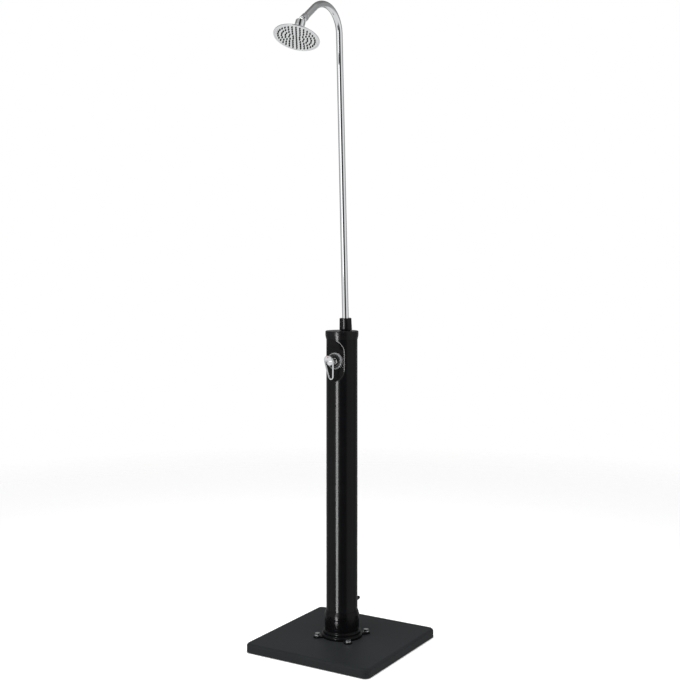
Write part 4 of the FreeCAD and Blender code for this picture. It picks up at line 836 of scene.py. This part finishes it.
bpy.ops.mesh.spin(steps=riser["frontSteps"], angle=bend - split, center=front, axis=(-1, 0, 0))
pushOut(Vector((0, -math.sin(bend), math.cos(bend))) * riser["arm"])
weldAll()
addModifier(piece, "SOLIDIFY", thickness=riser["wall"], offset=-1)
settle(piece, riserPlace)
finishPiece(piece, "chrome", ["riser_pipe"], "riser", weighted=False)


# ---------- ball joint ----------

ballJoint = {
    "ball": 0.0115, "neck": 0.0055, "sleeve": 0.0125, "sleeveBore": 0.01105, "groove": 0.0121, "bore": 0.0035,
    "nutRadius": 0.016, "nutTop": 0.005, "nutLow": -0.0195,
    "cup": 0.01267, "cupLow": -0.0025, "thread": 0.0136,
}


def arcPoints(radius, first, last, steps):
    turns = [math.radians(first + (last - first) * step / steps) for step in range(steps + 1)]
    return [(radius * math.sin(turn), radius * math.cos(turn)) for turn in turns]


lowest = math.degrees(math.asin(ballJoint["bore"] / ballJoint["ball"]))
highest = math.degrees(math.asin(ballJoint["neck"] / ballJoint["ball"]))
piece = spunPiece("ballConnector", arcPoints(ballJoint["ball"], 180 - lowest, highest, 28) + [
    (ballJoint["neck"], 0.0142, 0.0008), (0.0105, 0.0142, 0.001), (ballJoint["sleeve"], 0.0165, 0.001),
    (ballJoint["sleeve"], 0.0345, 0.0004), (ballJoint["groove"], 0.0350, 0.0003),
    (ballJoint["groove"], 0.0358, 0.0003), (ballJoint["sleeve"], 0.0363, 0.0004),
    (ballJoint["sleeve"], 0.038, 0.0008), (ballJoint["sleeveBore"], 0.038), (ballJoint["sleeveBore"], 0.020),
    (ballJoint["bore"], 0.020),
], steps=96)
settle(piece, armPlace)
finishPiece(piece, "chrome", ["ball_connector"], "riser", weighted=False)

lowest = math.degrees(math.acos(ballJoint["cupLow"] / ballJoint["cup"]))
highest = math.degrees(math.acos(ballJoint["nutTop"] / ballJoint["cup"]))
piece = spunPiece("swivelNut", arcPoints(ballJoint["cup"], lowest, highest, 10) + [
    (0.0135, ballJoint["nutTop"], 0.0004), (0.0155, 0.0032, 0.0012), (ballJoint["nutRadius"], 0.0005, 0.0008),
    (ballJoint["nutRadius"], -0.0172, 0.0006), (0.0152, -0.0182, 0.0004),
    (0.0152, ballJoint["nutLow"], 0.0003), (ballJoint["thread"], ballJoint["nutLow"]),
    (ballJoint["thread"], ballJoint["cupLow"]),
], steps=96)
settle(piece, headPlace)
finishPiece(piece, "chrome", ["swivel_nut"], "head", weighted=False)


# ---------- shower head ----------

head = {
    "shell": [
        (0.0080, -0.0140), (0.0135, -0.0027, 0.0003), (0.0135, -0.0196), (0.0160, -0.0196, 0.0008),
        (0.0165, -0.0345, 0.004), (0.0190, -0.0385, 0.004), (0.0262, -0.0413, 0.006), (0.045, -0.0462, 0.03),
        (0.0745, -0.0566, 0.0008), (0.0750, -0.0580, 0.0008), (0.0750, -0.0600, 0.0008),
        (0.0701, -0.0600, 0.0004), (0.0701, -0.0561), (0.0650, -0.0561), (0.0650, -0.0551),
        (0.026, -0.0437), (0.010, -0.0390), (0.0080, -0.0370),
    ],
    "face": {"radius": 0.070, "front": -0.0596, "back": -0.0576, "edge": 0.0006},
    "rings": 5, "pitch": 0.012,
    "mat": [(0, -0.0575), (0.0698, -0.0575), (0.0698, -0.0562), (0, -0.0562)],
    "nub": [(0, -0.0576), (0.0031, -0.0576), (0.0031, -0.0598, 0.0002), (0.0026, -0.0601, 0.0003),
            (0.0022, -0.0628, 0.0005), (0.0006, -0.0628, 0.0002), (0.0005, -0.0618), (0, -0.0618)],
}
piece = spunPiece("headShell", head["shell"], steps=128, cornerSteps=6)
settle(piece, headPlace)
finishPiece(piece, "chrome", ["head_shell"], "head", weighted=False)

face = head["face"]
piece = spunPiece("headFace", [
    (0, face["front"]), (0.0644, face["front"], 0.0002), (0.0649, face["front"] + 0.0003, 0.0002),
    (0.0654, face["front"], 0.0002), (face["radius"], face["front"], face["edge"]),
    (face["radius"], face["back"]), (0, face["back"]),
], steps=128, closed=False)
settle(piece, headPlace)
finishPiece(piece, "satinChrome", ["head_face"], "head", weighted=False)

# each nub has a wide dark foot just proud of the face; it stands in for the hole round the nub, partly the
# rubber seen in the gap and partly painted shade in the hole
nub = spunPiece("nub", head["nub"], steps=16, cornerSteps=2, closed=False)
nubs = [spunPiece("nozzleMat", head["mat"], steps=96, closed=False)]
for ring in range(head["rings"] + 1):
    count = max(6 * ring, 1)
    for index in range(count):
        turn = Matrix.Rotation(math.tau * index / count, 4, "Z")
        copy = nub.copy()
        copy.data = nub.data.copy()
        bpy.context.scene.collection.objects.link(copy)
        settle(copy, turn @ Matrix.Translation((head["pitch"] * ring, 0, 0)))
        nubs.append(copy)
bpy.data.objects.remove(nub)
piece = joinPieces(nubs, "nozzleMat")
settle(piece, headPlace)
finishPiece(piece, "nozzleRubber", ["nozzle_mat"], "head", weighted=False)
print("head done")


# ---------- tap ----------

tap = {
    "rose": [
        (0.0211, 0.036), (0.0275, 0.036, 0.0004), (0.0275, 0.047, 0.0028), (0.0225, 0.047, 0.0012),
        (0.0207, 0.0450, 0.0005), (0.0176, 0.0450, 0.0003), (0.0176, 0.0411), (0.0211, 0.0411),
    ],
    "nut": [
        (0.01555, 0.0411), (0.0173, 0.0411), (0.0173, 0.0453, 0.0008), (0.0105, 0.0453, 0.0008),
        (0.0105, 0.0432), (0.01555, 0.0432),
    ],
}
piece = spunPiece("tapRose", tap["rose"], steps=96)
settle(piece, valvePlace)
finishPiece(piece, "paintedRimHighlightBlack", ["tap_rose"], "tank", weighted=False)
piece = spunPiece("cartridgeNut", tap["nut"], steps=72)
settle(piece, valvePlace)
finishPiece(piece, "satinBlack", ["cartridge_nut"], "tank", weighted=False)

lever = {
    "distance": 0.079, "rise": 0.004, "lean": 14, "head": 0.0178, "drop": 0.056, "tip": 0.0105, "wire": 0.005,
    "thickness": 0.007, "voxel": 0.0006, "softening": 6, "topPull": 0.008, "tipPull": 0.004, "bulge": 0.55,
    "crownInset": 0.0012, "crownThinner": 0.001, "crownEdge": 0.0018,
    "stem": [(0, 0.050), (0.0075, 0.050, 0.0006), (0.0085, 0.060, 0.01), (0.0125, 0.072, 0.004),
             (0.0125, 0.076, 0.0015), (0.0088, 0.077, 0.001), (0, 0.079)],
}
leverPlace = (valvePlace @ turnedAbout((0, 0, lever["distance"]), lever["lean"])
              @ Matrix.Translation((0, lever["rise"], 0)))
stem = spunPiece("stem", lever["stem"], steps=64, closed=False)
settle(stem, valvePlace)

deselectAll()
bpy.ops.curve.primitive_bezier_circle_add(radius=0.01)
loop = named("loop")
middleTop = lever["head"] - lever["wire"] / 2
middleTip = lever["tip"] - lever["wire"] / 2
slope = (middleTop - middleTip) / lever["drop"]
across = math.sqrt(1 - slope * slope)
spline = loop.data.splines[0]
spline.bezier_points.add(2)
topSide = middleTop * slope
tipSide = middleTip * slope - lever["drop"]
knots = [
    ((0, middleTop), (1, 0), middleTop * lever["bulge"]),
    ((middleTop * across, topSide), (slope, -across), lever["topPull"]),
    ((middleTip * across, tipSide), (-slope, -across), lever["tipPull"]),
    ((0, -lever["drop"] - middleTip), (-1, 0), middleTip * lever["bulge"]),
    ((-middleTip * across, tipSide), (-slope, across), lever["tipPull"]),
    ((-middleTop * across, topSide), (slope, across), lever["topPull"]),
]
for point, (spot, along, pull) in zip(spline.bezier_points, knots):
    point.handle_left_type = "FREE"
    point.handle_right_type = "FREE"
    along = Vector((*along, 0)).normalized() * pull
    point.co = Vector((*spot, 0))
    point.handle_left = point.co - along
    point.handle_right = point.co + along
spline.resolution_u = 16
loop.data.dimensions = "3D"
loop.data.bevel_depth = lever["wire"] / 2
loop.data.bevel_resolution = 6
takeUp(loop)
bpy.ops.object.convert(target="MESH")
loop = named("loop")
loop.scale.z = lever["thickness"] / lever["wire"]
settle(loop)

deselectAll()
bpy.ops.mesh.primitive_cylinder_add(vertices=96, radius=lever["head"] - lever["crownInset"],
                                    depth=lever["thickness"] - lever["crownThinner"])
crown = named("crown")
editing(crown)
bpy.ops.mesh.select_all(action="SELECT")
bpy.ops.mesh.bisect(plane_co=(0, 0, 0), plane_no=(0, 1, 0), clear_inner=True, use_fill=True)
pick(crown, "EDGE", lambda edge: climb(edge) < near)
bpy.ops.mesh.bevel(offset=lever["crownEdge"], segments=4, affect="EDGES")
bpy.ops.object.mode_set(mode="OBJECT")
for item in (loop, crown):
    settle(item, leverPlace)
piece = joinPieces([stem, loop, crown], "leverHandle")
addModifier(piece, "REMESH", mode="VOXEL", voxel_size=lever["voxel"])
addModifier(piece, "SMOOTH", factor=0.5, iterations=lever["softening"])
leverHoles = {
    "spindle": (0.00405, 0.0161, valvePlace @ Matrix.Translation((0, 0, 0.058))),
    "grubScrew": (0.0025, 0.012, valvePlace @ turnedAbout((0, 0.010, 0.060), -90)),
    "indexPlug": (0.00225, 0.0035, leverPlace @ Matrix.Translation((0, 0.0125, 0.00175))),
}
for radius, depth, place in leverHoles.values():
    drillHole(piece, radius, depth, place, 48)
editing(piece)
bpy.ops.mesh.select_all(action="SELECT")
bpy.ops.mesh.fill_holes(sides=8)
bpy.ops.mesh.normals_make_consistent(inside=False)
bpy.ops.object.mode_set(mode="OBJECT")
finishPiece(piece, "chrome", ["lever_handle"], "lever", angle=50, weighted=False)
print("tap done")


# ---------- hose connector ----------

hose = {
    "outline": [
        (0.0040, 0.066), (0.00805, 0.066), (0.00805, 0.058), (0.0100, 0.058, 0.0008), (0.0100, 0.072, 0.0008),
        (0.0067, 0.073, 0.0002), (0.0067, 0.08533, 0.0004), (0.0056, 0.08533), (0.0056, 0.092),
        (0.0067, 0.092, 0.0004), (0.0067, 0.10533, 0.0004), (0.0056, 0.10533), (0.0056, 0.112, 0.0008),
        (0.0040, 0.112),
    ],
    "grips": 20, "columnsPerGrip": 4, "gripLow": 0.0595, "gripTop": 0.0705, "gripRadius": 0.0098,
    "gripInset": 0.0002, "gripDepth": 0.0004,
}
piece = spunPiece("hoseConnector", hose["outline"], steps=hose["grips"] * hose["columnsPerGrip"])
editing(piece)


def isGrip(face):
    centre = face.calc_center_median()
    if not hose["gripLow"] < centre.z < hose["gripTop"] or centre.xy.length < hose["gripRadius"]:
        return False
    return (math.atan2(centre.y, centre.x) / math.tau * hose["grips"]) % 1 < 0.5


pick(piece, "FACE", isGrip)
bpy.ops.mesh.inset(thickness=hose["gripInset"], depth=-hose["gripDepth"])
bpy.ops.object.mode_set(mode="OBJECT")
settle(piece, inletPlace)
finishPiece(piece, "satinBlack", ["hose_connector"], "tank", weighted=False)
print("hose connector done")

# the low strip draws the streak on the black pieces, and polished chrome would burn out under it
streaked = bpy.data.collections.new("streaked")
for name in ("footFlange", "tankTube", "topCap", "riserNut", "tapRose", "cartridgeNut", "hoseConnector"):
    streaked.objects.link(bpy.data.objects[name])
bpy.data.objects["lowStrip"].light_linking.receiver_collection = streaked
